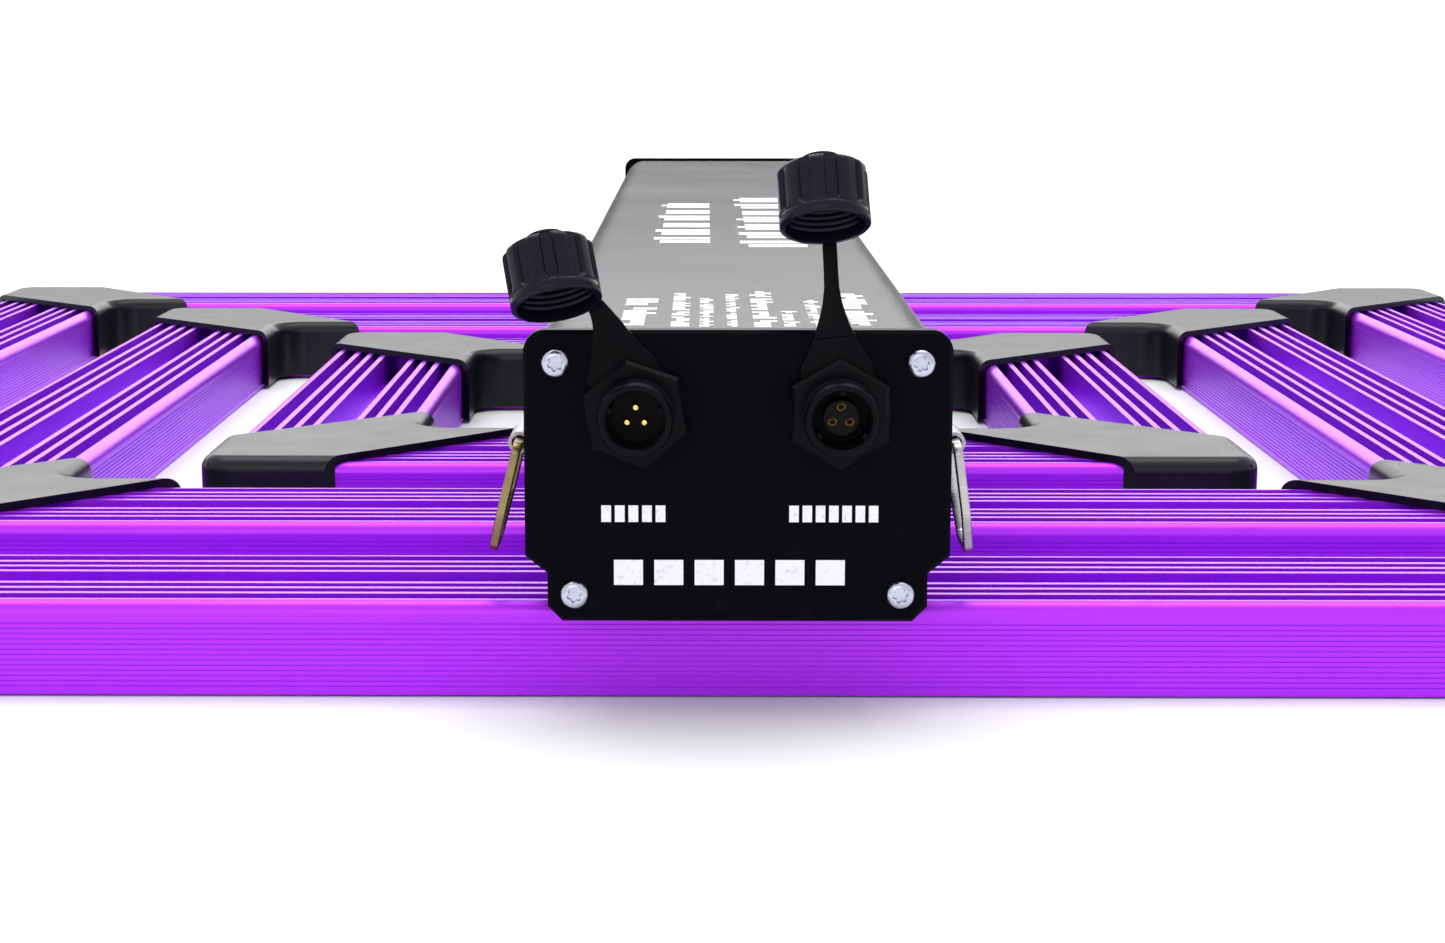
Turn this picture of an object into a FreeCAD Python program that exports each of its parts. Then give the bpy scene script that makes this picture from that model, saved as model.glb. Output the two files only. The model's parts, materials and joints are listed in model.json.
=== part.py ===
import FreeCAD, Part
import math
import os
import re
import Sketcher

# A square LED grow light: three nested square rings of finned bars, a driver box across the top
# with two capped signal sockets at the front, and four hanging rings. Millimetres, +Z up, +Y to
# the back. The origin is the centre of the rings on the plane that the light lies on.

os.makedirs("parts", exist_ok=True)
Vector = FreeCAD.Vector
Rotation = FreeCAD.Rotation
Placement = FreeCAD.Placement
X_AXIS = Vector(1, 0, 0)
Y_AXIS = Vector(0, 1, 0)
Z_AXIS = Vector(0, 0, 1)

doc = FreeCAD.newDocument("led_grow_light")
sheet = doc.addObject("Spreadsheet::Sheet", "Sizes")

# ---- Driving dimensions -------------------------------------------------------------------------
SIZES = [
    ("frame_size", 632, "outer ring, outside to outside of its bars"),
    ("ring_pitch", 86, "step from one ring's outer face to the next ring's"),
    ("bar_width", 51, "bar, across"),
    ("bar_height", 20, "bar, lip to fin top"),
    ("bar_wall", 3.8, "bar, side wall"),
    ("bar_floor", 3, "bar, floor that carries the LED board"),
    ("floor_level", 7, "underside of the bar floor"),
    ("bar_edge_radius", 3, "rounding of the bar's upper outer edges"),
    ("fin_thick", 1.8, "cooling fin"),
    ("fin_first", 5.9, "first fin from the bar's middle"),
    ("fin_step", 5.1, "fin to fin"),
    ("fin_count", 3, "fins each side of the middle"),
    ("rib_pitch", 1.13, "grooves on the bar's side faces"),
    ("rib_count", 13, "grooves in a side face"),
    ("rib_start", 1.7, "lowest groove"),
    ("rib_depth", 0.35, "groove depth"),
    ("rib_width", 0.45, "groove width"),
    ("lip_depth", 1.4, "lip under the lens"),
    ("lip_thick", 0.8, "lip thickness"),
    ("mitre_gap", 0.1, "half the gap in a mitre"),
    ("fit_gap", 0.15, "clearance between pieces that slide together"),
    ("cover_skirt", 2.8, "corner cover, side wall"),
    ("cover_plate", 2.2, "corner cover, top plate"),
    ("cover_lift", 1, "corner cover, lower edge above the ground"),
    ("cover_outer_run", 35.5, "corner cover, length of its outer side"),
    ("cover_inner_run", 88, "corner cover, reach of its inner tip"),
    ("cover_shoulder", 4.2, "corner cover, rounding of the top edges"),
    ("cover_outer_radius", 9, "corner cover, rounding of the outer corner"),
    ("cover_inner_radius", 10, "corner cover, rounding of the inner corner"),
    ("key_arm", 30, "corner key, arm beyond the mitre"),
    ("key_width", 24, "corner key, across"),
    ("key_thick", 2.5, "corner key"),
    ("key_screw_reach", 15, "corner key, screw from the mitre's inner end"),
    ("board_thick", 1.6, "LED board"),
    ("lens_thick", 2, "lens strip"),
    ("flat_head_radius", 3.2, "flat screw head"),
    ("flat_head_depth", 1.7, "flat screw head"),
    ("flat_screw_radius", 1.5, "flat screw shank"),
    ("driver_overhang", 17, "end plate's outer face beyond the bars"),
    ("plate_thick", 4, "end plate"),
    ("plate_half", 43, "end plate, half width"),
    ("plate_foot_half", 38.5, "end plate, half width of the foot"),
    ("plate_tall", 59.5, "end plate, height"),
    ("foot_tall", 9.9, "end plate, height of the foot"),
    ("foot_slope", 3.6, "end plate, height of the slope over the foot"),
    ("foot_corner", 3, "end plate, cut at the lower corners"),
    ("plate_radius", 4.5, "end plate, upper corners"),
    ("plate_bevel", 0.7, "end plate, bevel of the outer edges"),
    ("gasket_thick", 1.5, "end plate gasket"),
    ("housing_inset", 1, "housing inside the end plate's outline"),
    ("housing_radius", 7.5, "housing, upper corners"),
    ("housing_wall", 2.5, "housing wall"),
    ("upper_screw_x", 36.5, "upper plate screws from the middle"),
    ("upper_screw_drop", 6.6, "upper plate screws below the plate's top"),
    ("lower_screw_x", 33.0, "lower plate screws from the middle"),
    ("lower_screw_rise", 5.7, "lower plate screws above the plate's bottom"),
    ("screw_radius", 1.5, "plate screw shank"),
    ("screw_head_radius", 2.9, "plate screw head"),
    ("screw_head_tall", 1.6, "plate screw head"),
    ("screw_long", 12, "plate screw under its head"),
    ("screw_boss", 4, "half the boss around a plate screw"),
    ("fixing_x", 20, "driver fixing screws from the middle"),
    ("fixing_radius", 2, "driver fixing screw shank"),
    ("fixing_bite", 2.3, "driver fixing screw in the housing floor"),
    ("socket_x", 20.3, "signal sockets from the middle"),
    ("socket_drop", 16.5, "signal sockets below the plate's top"),
    ("thread_radius", 7.5, "socket thread, outside"),
    ("socket_bore", 5.75, "socket bore radius"),
    ("socket_reach", 12, "socket front end from the plate"),
    ("hex_flat", 9.75, "socket flange, half its width across flats"),
    ("hex_thick", 3, "socket flange"),
    ("stem_radius", 7, "socket stem behind the plate"),
    ("stem_long", 9, "socket stem behind the plate"),
    ("insert_floor", 2, "socket insert, floor"),
    ("pin_radius", 0.62, "contact pin"),
    ("pin_circle", 2, "contact pins, circle radius"),
    ("core_radius", 3.5, "female core"),
    ("core_long", 5.5, "female core and male pins, above the insert's floor"),
    ("tether_thick", 1, "tether rubber"),
    ("tether_outer", 10.3, "tether ring, outer radius"),
    ("tether_width", 5, "tether strap, across"),
    ("tether_reach", 15, "bend of the tether from the socket's axis"),
    ("tether_gap", 1.3, "tether ring's tab below the bend"),
    ("tether_lift", 0.4, "tether strap in front of its ring's middle"),
    ("cap_radius", 9, "dust cap, outside"),
    ("cap_bore", 7.8, "dust cap, inside"),
    ("cap_long", 12.2, "dust cap, length"),
    ("cap_end", 2.5, "dust cap, closed end"),
    ("cap_band", 2.3, "dust cap, plain rim band"),
    ("flute_count", 10, "dust cap flutes"),
    ("flute_radius", 1.2, "dust cap flute"),
    ("nub_radius", 3.4, "dust cap nub"),
    ("nub_tall", 2.6, "dust cap nub"),
    ("nub_head_radius", 4, "dust cap nub head"),
    ("nub_head_tall", 1, "dust cap nub head"),
    ("cap_tilt", 27, "dust caps, turned forward from the strap's line"),
    ("inlet_radius", 10, "power inlet, outside"),
    ("inlet_bore", 8, "power inlet, bore radius"),
    ("inlet_flange", 13.5, "power inlet, half its flange"),
    ("inlet_pin_radius", 1.25, "power inlet pin"),
    ("inlet_pin_circle", 4, "power inlet pins, circle radius"),
    ("hanger_inset", 25, "hanging rings behind the plates' outer faces"),
    ("hanger_drop", 25.8, "hanging ring pivots below the plate's top"),
    ("hanger_off", 3.3, "hanging ring pivots off the housing's side"),
    ("hanger_wide", 28, "hanging ring, across"),
    ("hanger_tall", 23.5, "hanging ring, pivot to lowest point"),
    ("hanger_thick", 2, "hanging ring, thickness"),
    ("hanger_bar", 2.2, "hanging ring, width of its bar"),
    ("knuckle_radius", 2.3, "hanging ring bracket, knuckle"),
    ("knuckle_bore", 1.6, "hanging ring bracket, bore"),
    ("knuckle_long", 12, "hanging ring bracket, knuckle"),
    ("bracket_tall", 16, "hanging ring bracket, plate"),
    ("bracket_thick", 1.2, "hanging ring bracket, plate"),
    ("pcb_long", 560, "driver circuit board"),
    ("left_strap_lean", 30.1, "left tether strap, degrees towards -X"),
    ("right_strap_lean", 5, "right tether strap, degrees towards -X"),
    ("left_cap_lean", 12, "left dust cap, degrees towards -X"),
    ("right_cap_lean", 3.6, "right dust cap, degrees towards -X"),
    ("left_cap_rise", 17.4, "left dust cap's middle above the bend, along the strap"),
    ("right_cap_rise", 28, "right dust cap's middle above the bend, along the strap"),
    ("left_hex_turn", 11, "left socket flange, degrees"),
    ("right_hex_turn", 0, "right socket flange, degrees"),
    ("front_left_hang", 14, "front left hanging ring, degrees away from the driver"),
    ("front_right_hang", 8, "front right hanging ring, degrees away from the driver"),
    ("back_left_hang", 0, "back left hanging ring, degrees away from the driver"),
    ("back_right_hang", 0, "back right hanging ring, degrees away from the driver"),
    ("thread_gap", 0.05, "clearance around a screw in its threaded hole"),
    ("gasket_margin", 0.6, "gasket inside the housing's outline"),
    ("gasket_land", 2.4, "gasket inside the housing's walls"),
    ("head_crown", 1, "plate screw head, rounding"),
    ("recess_radius", 1.25, "plate screw head, recess"),
    ("recess_deep", 1, "plate screw head, recess"),
    ("transformer_wide", 44, "transformer core, across"),
    ("transformer_long", 50, "transformer core, along"),
    ("transformer_tall", 24, "transformer core"),
    ("transformer_y", -40, "transformer, from the driver's middle"),
    ("winding_wide", 30, "transformer winding, across"),
    ("winding_long", 62, "transformer winding, along"),
    ("winding_tall", 18, "transformer winding"),
    ("winding_lift", 3, "transformer winding above the board"),
    ("can_radius", 9, "capacitor"),
    ("can_tall", 26, "capacitor"),
    ("can_spread", 22, "capacitors, column to column"),
    ("can_step", 26, "capacitors, row to row"),
    ("can_first", 60, "capacitors, first row from the driver's middle"),
    ("sleeve_radius", 0.95, "female contact"),
    ("shell_wall", 1.5, "socket shell, ledge around the wire way"),
    ("strap_clear", 0.6, "tether strap outside the dust cap"),
    ("strap_slim", 0.7, "tether strap behind the cap, share of its width at the bend"),
    ("eye_wall", 1.8, "tether ring round the nub"),
    ("flute_sink", 0.55, "flute's middle outside the cap, share of its radius"),
    ("inlet_flange_thick", 3, "power inlet flange"),
    ("inlet_floor", 2, "power inlet, floor and contact disc"),
    ("inlet_pin_short", 8, "power inlet pins, short of the barrel's rim"),
]
NAMES = [name for name, size, note in SIZES]
for row, (name, size, note) in enumerate(SIZES, start=1):
    sheet.set(f"A{row}", note)
    sheet.set(f"B{row}", str(size))
    sheet.setAlias(f"B{row}", name)
doc.recompute()

RINGS = ["outer", "middle", "inner"]
SIDES = [("front", 0), ("right", 90), ("back", 180), ("left", 270)]
CORNERS = [("front_left", 0), ("front_right", 90), ("back_right", 180), ("back_left", 270)]


# ---- Helpers ------------------------------------------------------------------------------------
def full(text):
    """The expression with every size name pointed at the sheet."""
    def point(word):
        return "Sizes." + word.group() if word.group() in NAMES else word.group()
    return re.sub(r"[a-z][a-z_]*", point, str(text))


def value(text):
    return float(sheet.evalExpression(str(text)))


def bind(obj, **sizes):
    for prop, text in sizes.items():
        obj.setExpression(prop, full(text))


def place(obj, x=0, y=0, z=0, rotation=Rotation()):
    obj.Placement = Placement(Vector(0, 0, 0), rotation)
    for letter, text in zip("xyz", (x, y, z)):
        obj.setExpression(f"Placement.Base.{letter}", full(text))
    return obj


def box(name, size, at=(0, 0, 0), rotation=Rotation()):
    obj = doc.addObject("Part::Box", name)
    bind(obj, Length=size[0], Width=size[1], Height=size[2])
    return place(obj, *at, rotation)


def middle_box(name, size, at=(0, 0, 0)):
    """A box centred on x and y, standing on z."""
    return box(name, size, (f"{at[0]} - ({size[0]}) / 2", f"{at[1]} - ({size[1]}) / 2", at[2]))


def cylinder(name, radius, tall, at=(0, 0, 0), rotation=Rotation()):
    obj = doc.addObject("Part::Cylinder", name)
    bind(obj, Radius=radius, Height=tall)
    return place(obj, *at, rotation)


def cone(name, low_radius, high_radius, tall, at=(0, 0, 0)):
    obj = doc.addObject("Part::Cone", name)
    bind(obj, Radius1=low_radius, Radius2=high_radius, Height=tall)
    return place(obj, *at)


def hexagon(name, half_flat, tall, at=(0, 0, 0)):
    obj = doc.addObject("Part::Prism", name)
    obj.Polygon = 6
    bind(obj, Circumradius=f"({half_flat}) / {math.cos(math.pi / 6):.6f}", Height=tall)
    return place(obj, *at)


def fuse(name, *shapes):
    obj = doc.addObject("Part::MultiFuse", name)
    obj.Shapes = list(shapes)
    return obj


def cut(name, base, *tools):
    obj = doc.addObject("Part::Cut", name)
    obj.Base = base
    obj.Tool = tools[0] if len(tools) == 1 else fuse(name + "_tools", *tools)
    return obj


def common(name, base, tool):
    obj = doc.addObject("Part::Common", name)
    obj.Base = base
    obj.Tool = tool
    return obj


def group(name, *shapes):
    obj = doc.addObject("Part::Compound", name)
    obj.Links = list(shapes)
    return obj


def copy(name, source, x=0, y=0, z=0, rotation=Rotation()):
    return place(group(name, source), x, y, z, rotation)


def about(axis, turn):
    return Rotation(axis, turn)


def body(name):
    obj = doc.addObject("PartDesign::Body", name)
    doc.recompute()
    return obj


def plane(owner, role):
    return [feature for feature in owner.Origin.OriginFeatures if feature.Role == role][0]


def sketch(owner, name, role, offset=None):
    obj = owner.newObject("Sketcher::SketchObject", name)
    obj.AttachmentSupport = [(plane(owner, role), "")]
    obj.MapMode = "FlatFace"
    if offset:
        obj.setExpression("AttachmentOffset.Base.z", full(offset))
    return obj


def pin_point(target, line, position, u, v):
    for kind, text in (("DistanceX", u), ("DistanceY", v)):
        number = target.addConstraint(Sketcher.Constraint(kind, -1, 1, line, position, value(text)))
        target.setExpression(f"Constraints[{number}]", full(text))


def polygon(target, points):
    """A closed outline, each corner held by two bound distances from the origin."""
    first = target.GeometryCount
    spots = [Vector(value(u), value(v), 0) for u, v in points]
    for here, there in zip(spots, spots[1:] + spots[:1]):
        target.addGeometry(Part.LineSegment(here, there))
    for number, (u, v) in enumerate(points):
        following = first + (number + 1) % len(points)
        target.addConstraint(Sketcher.Constraint("Coincident", first + number, 2, following, 1))
        pin_point(target, first + number, 1, u, v)


def circle(target, u, v, radius):
    line = target.addGeometry(Part.Circle(Vector(value(u), value(v), 0), Z_AXIS, value(radius)))
    pin_point(target, line, 3, u, v)
    number = target.addConstraint(Sketcher.Constraint("Radius", line, value(radius)))
    target.setExpression(f"Constraints[{number}]", full(radius))


def mirrored_outline(half):
    """Both halves of an outline that is given for the positive side, from the bottom up."""
    return list(half) + [(f"-({u})", v) for u, v in reversed(half)]


def pad(owner, profile, length, symmetric=False):
    obj = owner.newObject("PartDesign::Pad", profile.Name + "_pad")
    obj.Profile = profile
    obj.SideType = "Symmetric" if symmetric else "One side"
    bind(obj, Length=length)
    doc.recompute()
    return obj


def pocket(owner, profile, length=None, symmetric=False, backwards=False):
    obj = owner.newObject("PartDesign::Pocket", profile.Name + "_pocket")
    obj.Profile = profile
    obj.SideType = "Symmetric" if symmetric else "One side"
    obj.Reversed = backwards
    if length:
        bind(obj, Length=length)
    else:
        obj.Type = "ThroughAll"
    doc.recompute()
    return obj


def line_pattern(owner, feature, direction, length, count):
    obj = owner.newObject("PartDesign::LinearPattern", feature.Name + "_row")
    obj.Originals = [feature]
    obj.Direction = direction
    bind(obj, Length=length, Occurrences=count)
    owner.Tip = obj
    doc.recompute()
    return obj


def edges(shape, test):
    """Names of the straight edges whose middle and direction pass the test."""
    names = []
    for number, edge in enumerate(shape.Edges, start=1):
        if edge.Curve.TypeId == "Part::GeomLine":
            middle = edge.valueAt((edge.FirstParameter + edge.LastParameter) / 2)
            if test(middle, edge.tangentAt(edge.FirstParameter)):
                names.append(f"Edge{number}")
    return names


def fillet(owner, names, radius):
    base = owner.Tip
    obj = owner.newObject("PartDesign::Fillet", owner.Name + "_fillet")
    obj.Base = (base, names)
    bind(obj, Radius=radius)
    owner.Tip = obj
    doc.recompute()
    return obj


def near(one, other):
    return abs(one - other) < 0.01


nodes = []


def node(obj, label):
    obj.Label = label
    nodes.append(obj)
    return obj


# ---- Bars ---------------------------------------------------------------------------------------
def bar_stock():
    """The bar's extrusion along X: two walls, a floor, cooling fins above and lens lips below."""
    stock = body("bar_stock")
    profile = sketch(stock, "bar_profile", "YZ_Plane")
    wall_face = "bar_width / 2 - bar_wall"
    floor_top = "floor_level + bar_floor"
    half = [(wall_face, "floor_level"),
            (wall_face, "lip_thick"),
            (f"{wall_face} - lip_depth", "lip_thick"),
            (f"{wall_face} - lip_depth", "0"),
            ("bar_width / 2", "0"),
            ("bar_width / 2", "bar_height"),
            (wall_face, "bar_height"),
            (wall_face, floor_top)]
    for step in reversed(range(int(value("fin_count")))):
        outer = f"fin_first + {step} * fin_step + fin_thick / 2"
        inner = f"fin_first + {step} * fin_step - fin_thick / 2"
        half += [(outer, floor_top), (outer, "bar_height"), (inner, "bar_height"), (inner, floor_top)]
    polygon(profile, mirrored_outline(half))
    pad(stock, profile, "frame_size", symmetric=True)
    outer_face = value("bar_width / 2")
    top = value("bar_height")
    names = edges(stock.Shape, lambda spot, way: near(abs(way.x), 1) and near(abs(spot.y), outer_face)
                  and near(spot.z, top))
    fillet(stock, names, "bar_edge_radius")
    groove = sketch(stock, "bar_groove", "YZ_Plane")
    for side in ("", "-"):
        deep = f"{side}(bar_width / 2 - rib_depth)"
        open_side = f"{side}(bar_width / 2 + 1)"
        polygon(groove, [(deep, "rib_start"), (open_side, "rib_start"),
                         (open_side, "rib_start + rib_width"), (deep, "rib_start + rib_width")])
    first = pocket(stock, groove, symmetric=True)
    line_pattern(stock, first, (groove, ["V_Axis"]), "(rib_count - 1) * rib_pitch", "rib_count")
    return stock


def ring_half(ring):
    """Half the outside of a ring, over its bars."""
    return f"(frame_size / 2 - {ring} * ring_pitch)"


def mitre(ring, name, width, low, tall):
    """The slab that trims a bar, or a strip of that width within it, to its mitred ends."""
    wedge = doc.addObject("Part::Wedge", name)
    slack = f"(bar_width - ({width})) / 2"
    bind(wedge, Xmin=f"-({ring_half(ring)} - {slack} - mitre_gap)", Xmax=f"{ring_half(ring)} - {slack} - mitre_gap",
         X2min=f"-({ring_half(ring)} - bar_width + {slack} - mitre_gap)",
         X2max=f"{ring_half(ring)} - bar_width + {slack} - mitre_gap",
         Ymin=f"-({width}) / 2", Ymax=f"({width}) / 2",
         Zmin=low, Zmax=f"{low} + {tall}", Z2min=low, Z2max=f"{low} + {tall}")
    return wedge


def side_place(obj, ring, turn):
    """Moves a piece that was made along X, on the middle line, to its side of the ring."""
    reach = f"({ring_half(ring)} - bar_width / 2)"
    ways = {0: (0, f"-{reach}"), 90: (reach, 0), 180: (0, reach), 270: (f"-{reach}", 0)}
    return place(obj, *ways[turn], 0, about(Z_AXIS, turn))


def flat_screw_hole(name, x, low, radius, head_radius, long):
    sink = cone(name + "_sink", head_radius, radius, "flat_head_depth", (x, 0, low))
    bore = cylinder(name + "_bore", radius, long, (x, 0, low))
    return fuse(name, sink, bore)


def make_bars(stock):
    for ring, ring_name in enumerate(RINGS):
        slab = mitre(ring, ring_name + "_mitre", "bar_width", "0", "bar_height")
        reach = f"({ring_half(ring)} - bar_width - key_screw_reach)"
        key_holes = [cylinder(f"{ring_name}_key_hole_{end}", "flat_screw_radius + 0.05", "bar_floor + 2",
                              (f"{sign}{reach}", 0, "floor_level - 1"))
                     for end, sign in (("a", "-"), ("b", ""))]
        fixing_holes = [flat_screw_hole(f"{ring_name}_fixing_hole_{end}", f"{sign}fixing_x", "floor_level",
                                        "fixing_radius + 0.1", "flat_head_radius + 0.15", "bar_height")
                        for end, sign in (("a", "-"), ("b", ""))]
        for side, turn in SIDES:
            trimmed = common(f"{ring_name}_{side}_trimmed", stock, slab)
            holes = key_holes + (fixing_holes if side in ("front", "back") else [])
            bar = cut(f"{ring_name}_{side}_drilled", trimmed, *holes)
            node(side_place(bar, ring, turn), f"{ring_name}_{side}_bar")


# ---- Corner covers, keys and their screws -------------------------------------------------------
def cover_stock():
    """The moulded corner cover; the bars' outer corner is at the origin, its arms run along +X and +Y."""
    stock = body("cover_stock")
    outline = sketch(stock, "cover_outline", "XY_Plane", "cover_lift")
    far = "bar_width + cover_skirt"
    polygon(outline, [("-cover_skirt", "-cover_skirt"),
                      ("cover_outer_run - cover_skirt", "-cover_skirt"),
                      ("cover_inner_run - cover_skirt", far),
                      (far, far),
                      (far, "cover_inner_run - cover_skirt"),
                      ("-cover_skirt", "cover_outer_run - cover_skirt")])
    pad(stock, outline, "bar_height + cover_plate - cover_lift")
    outside = -value("cover_skirt")
    inside = value(far)
    fillet(stock, edges(stock.Shape, lambda spot, way: near(abs(way.z), 1) and near(spot.x, outside)
                        and near(spot.y, outside)), "cover_outer_radius")
    fillet(stock, edges(stock.Shape, lambda spot, way: near(abs(way.z), 1) and near(spot.x, inside)
                        and near(spot.y, inside)), "cover_inner_radius")
    top = value("bar_height + cover_plate")
    rims = edges(stock.Shape, lambda spot, way: near(spot.z, top) and near(way.z, 0)
                 and (near(spot.x, outside) or near(spot.y, outside) or near(spot.x, inside)
                      or near(spot.y, inside)))
    fillet(stock, rims, "cover_shoulder")
    reach = "cover_inner_run + 10"
    band = "bar_width + 2 * fit_gap"
    tall = "bar_height + 0.05"
    hollow_x = box("cover_hollow_x", (reach, band, tall), ("-fit_gap", "-fit_gap", 0))
    hollow_y = box("cover_hollow_y", (band, reach, tall), ("-fit_gap", "-fit_gap", 0))
    return stock, fuse("cover_hollow", hollow_x, hollow_y)


def corner_place(obj, ring, turn, z=0):
    reach = ring_half(ring)
    ways = {0: ("-", "-"), 90: ("", "-"), 180: ("", ""), 270: ("-", "")}
    return place(obj, ways[turn][0] + reach, ways[turn][1] + reach, z, about(Z_AXIS, turn))


def make_corner_covers():
    stock, hollow = cover_stock()
    for ring, ring_name in enumerate(RINGS):
        for corner, turn in CORNERS:
            cover = cut(f"{ring_name}_{corner}_shell", stock, hollow)
            node(corner_place(cover, ring, turn), f"{ring_name}_{corner}_cover")


def flat_screw(name, radius, head_radius, long):
    """A countersunk screw, point up, its head's face on the origin."""
    head = cone(name + "_head", head_radius, radius, "flat_head_depth")
    shank = cylinder(name + "_shank", radius, long)
    socket = hexagon(name + "_socket", "0.95", "1.1")
    return cut(name, fuse(name + "_solid", head, shank), socket)


def make_corner_keys():
    """L plates under the bar floors that pull each mitre together, with two screws each."""
    near_edge = "(bar_width / 2 - key_width / 2)"
    long = "(bar_width + key_arm) - " + near_edge
    bottom = "floor_level - key_thick"
    spots = [("bar_width + key_screw_reach", "bar_width / 2"), ("bar_width / 2", "bar_width + key_screw_reach")]
    arm_x = box("key_arm_x", (long, "key_width", "key_thick"), (near_edge, near_edge, bottom))
    arm_y = box("key_arm_y", ("key_width", long, "key_thick"), (near_edge, near_edge, bottom))
    holes = []
    screws = []
    pattern = flat_screw("key_screw", "flat_screw_radius", "flat_head_radius", "key_thick + bar_floor - 0.2")
    for number, (x, y) in enumerate(spots):
        holes.append(cone(f"key_sink_{number}", "flat_head_radius + 0.1", "flat_screw_radius + 0.1",
                          "flat_head_depth", (x, y, bottom)))
        holes.append(cylinder(f"key_bore_{number}", "flat_screw_radius + 0.1", "key_thick", (x, y, bottom)))
        screws.append(copy(f"key_screw_{number}", pattern, x, y, bottom))
    key = cut("key", fuse("key_blank", arm_x, arm_y), *holes)
    pair = group("key_screw_pair", *screws)
    keys = []
    pairs = []
    for ring, ring_name in enumerate(RINGS):
        for corner, turn in CORNERS:
            keys.append(corner_place(group(f"{ring_name}_{corner}_key", key), ring, turn))
            pairs.append(corner_place(group(f"{ring_name}_{corner}_key_screws", pair), ring, turn))
    node(group("all_keys", *keys), "corner_keys")
    node(group("all_key_screws", *pairs), "corner_key_screws")


# ---- LED boards and lenses ----------------------------------------------------------------------
def make_light_strips():
    inner_width = "(bar_width - 2 * bar_wall - 2 * fit_gap)"
    for ring, ring_name in enumerate(RINGS):
        run = f"2 * ({ring_half(ring)} - bar_width - key_arm - 1)"
        board = middle_box(f"{ring_name}_board", (run, inner_width, "board_thick"),
                           (0, 0, "floor_level - board_thick"))
        lens = mitre(ring, f"{ring_name}_lens", inner_width, "lip_thick", "lens_thick")
        boards = [side_place(group(f"{ring_name}_{side}_board", board), ring, turn) for side, turn in SIDES]
        lenses = [side_place(group(f"{ring_name}_{side}_lens", lens), ring, turn) for side, turn in SIDES]
        node(group(f"{ring_name}_boards", *boards), f"{ring_name}_led_boards")
        node(group(f"{ring_name}_lenses", *lenses), f"{ring_name}_lenses")


# ---- Driver box ---------------------------------------------------------------------------------
PLATE_FACE = "(frame_size / 2 + driver_overhang)"
HOUSING_HALF = f"({PLATE_FACE} - plate_thick - gasket_thick)"
SCREW_SPOTS = [("upper_screw_x", "plate_tall - upper_screw_drop"),
               ("-upper_screw_x", "plate_tall - upper_screw_drop"),
               ("lower_screw_x", "lower_screw_rise"), ("-lower_screw_x", "lower_screw_rise")]


def end_outline(inset):
    """The driver's outline from its bottom up: foot, slope and flank, less an inset."""
    return [(f"plate_foot_half - foot_corner - {inset}", "0"),
            (f"plate_foot_half - {inset}", "foot_corner"),
            (f"plate_foot_half - {inset}", f"foot_tall + {inset} / 2"),
            (f"plate_half - {inset}", f"foot_tall + foot_slope + {inset} / 2"),
            (f"plate_half - {inset}", f"plate_tall - {inset}")]


def round_top(owner, half, top, radius):
    names = edges(owner.Shape, lambda spot, way: near(abs(way.y), 1) and near(abs(spot.x), half)
                  and near(spot.z, top))
    fillet(owner, names, radius)


def driver_housing():
    """An aluminium tube along Y with thick corners for the plate screws and ledges for the board."""
    housing = body("housing")
    outline = sketch(housing, "housing_outline", "XZ_Plane")
    polygon(outline, mirrored_outline(end_outline("housing_inset")))
    pad(housing, outline, f"2 * {HOUSING_HALF}", symmetric=True)
    round_top(housing, value("plate_half - housing_inset"), value("plate_tall - housing_inset"),
              "housing_radius")
    hollow = sketch(housing, "housing_hollow", "XZ_Plane")
    side = "plate_half - housing_inset - housing_wall"
    foot = "plate_foot_half - housing_inset - housing_wall"
    ceiling = "plate_tall - housing_inset - housing_wall"
    ledge = "foot_tall + foot_slope + housing_wall"
    polygon(hollow, mirrored_outline([
        ("lower_screw_x - screw_boss", "housing_wall"),
        ("lower_screw_x - screw_boss", "lower_screw_rise + screw_boss"),
        (foot, "lower_screw_rise + screw_boss"),
        (foot, ledge),
        (side, ledge),
        (side, "plate_tall - upper_screw_drop - screw_boss"),
        ("upper_screw_x - screw_boss", "plate_tall - upper_screw_drop - screw_boss"),
        ("upper_screw_x - screw_boss", ceiling)]))
    pocket(housing, hollow, symmetric=True)
    threads = sketch(housing, "housing_threads", "XZ_Plane")
    for x, z in SCREW_SPOTS:
        circle(threads, x, z, "screw_radius + thread_gap")
    pocket(housing, threads, symmetric=True)
    holes = []
    for ring in range(len(RINGS)):
        for end in ("-", ""):
            for side_sign in ("-", ""):
                holes.append(cylinder(f"fixing_thread_{len(holes)}", "fixing_radius + thread_gap", "fixing_bite",
                                      (f"{side_sign}fixing_x", f"{end}({ring_half(ring)} - bar_width / 2)", 0)))
    node(place(cut("housing_drilled", housing, *holes), 0, 0, "bar_height"), "driver_housing")


def end_plate(name, openings):
    """A flat plate whose outer face is on the XZ plane, facing -Y."""
    plate = body(name)
    outline = sketch(plate, name + "_outline", "XZ_Plane")
    polygon(outline, mirrored_outline(end_outline("0")))
    back = pad(plate, outline, "plate_thick")
    back.Reversed = True
    doc.recompute()
    round_top(plate, value("plate_half"), value("plate_tall"), "plate_radius")
    faces = [f"Face{number}" for number, face in enumerate(plate.Shape.Faces, start=1)
             if near(face.CenterOfMass.y, 0)]
    blank = plate.Tip
    bevel = plate.newObject("PartDesign::Chamfer", name + "_bevel")
    bevel.Base = (blank, faces)
    bind(bevel, Size="plate_bevel")
    plate.Tip = bevel
    doc.recompute()
    holes = sketch(plate, name + "_holes", "XZ_Plane")
    for x, z in SCREW_SPOTS:
        circle(holes, x, z, "screw_radius + 0.2")
    for x, z, radius in openings:
        circle(holes, x, z, radius)
    pocket(plate, holes, symmetric=True)
    return plate


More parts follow.
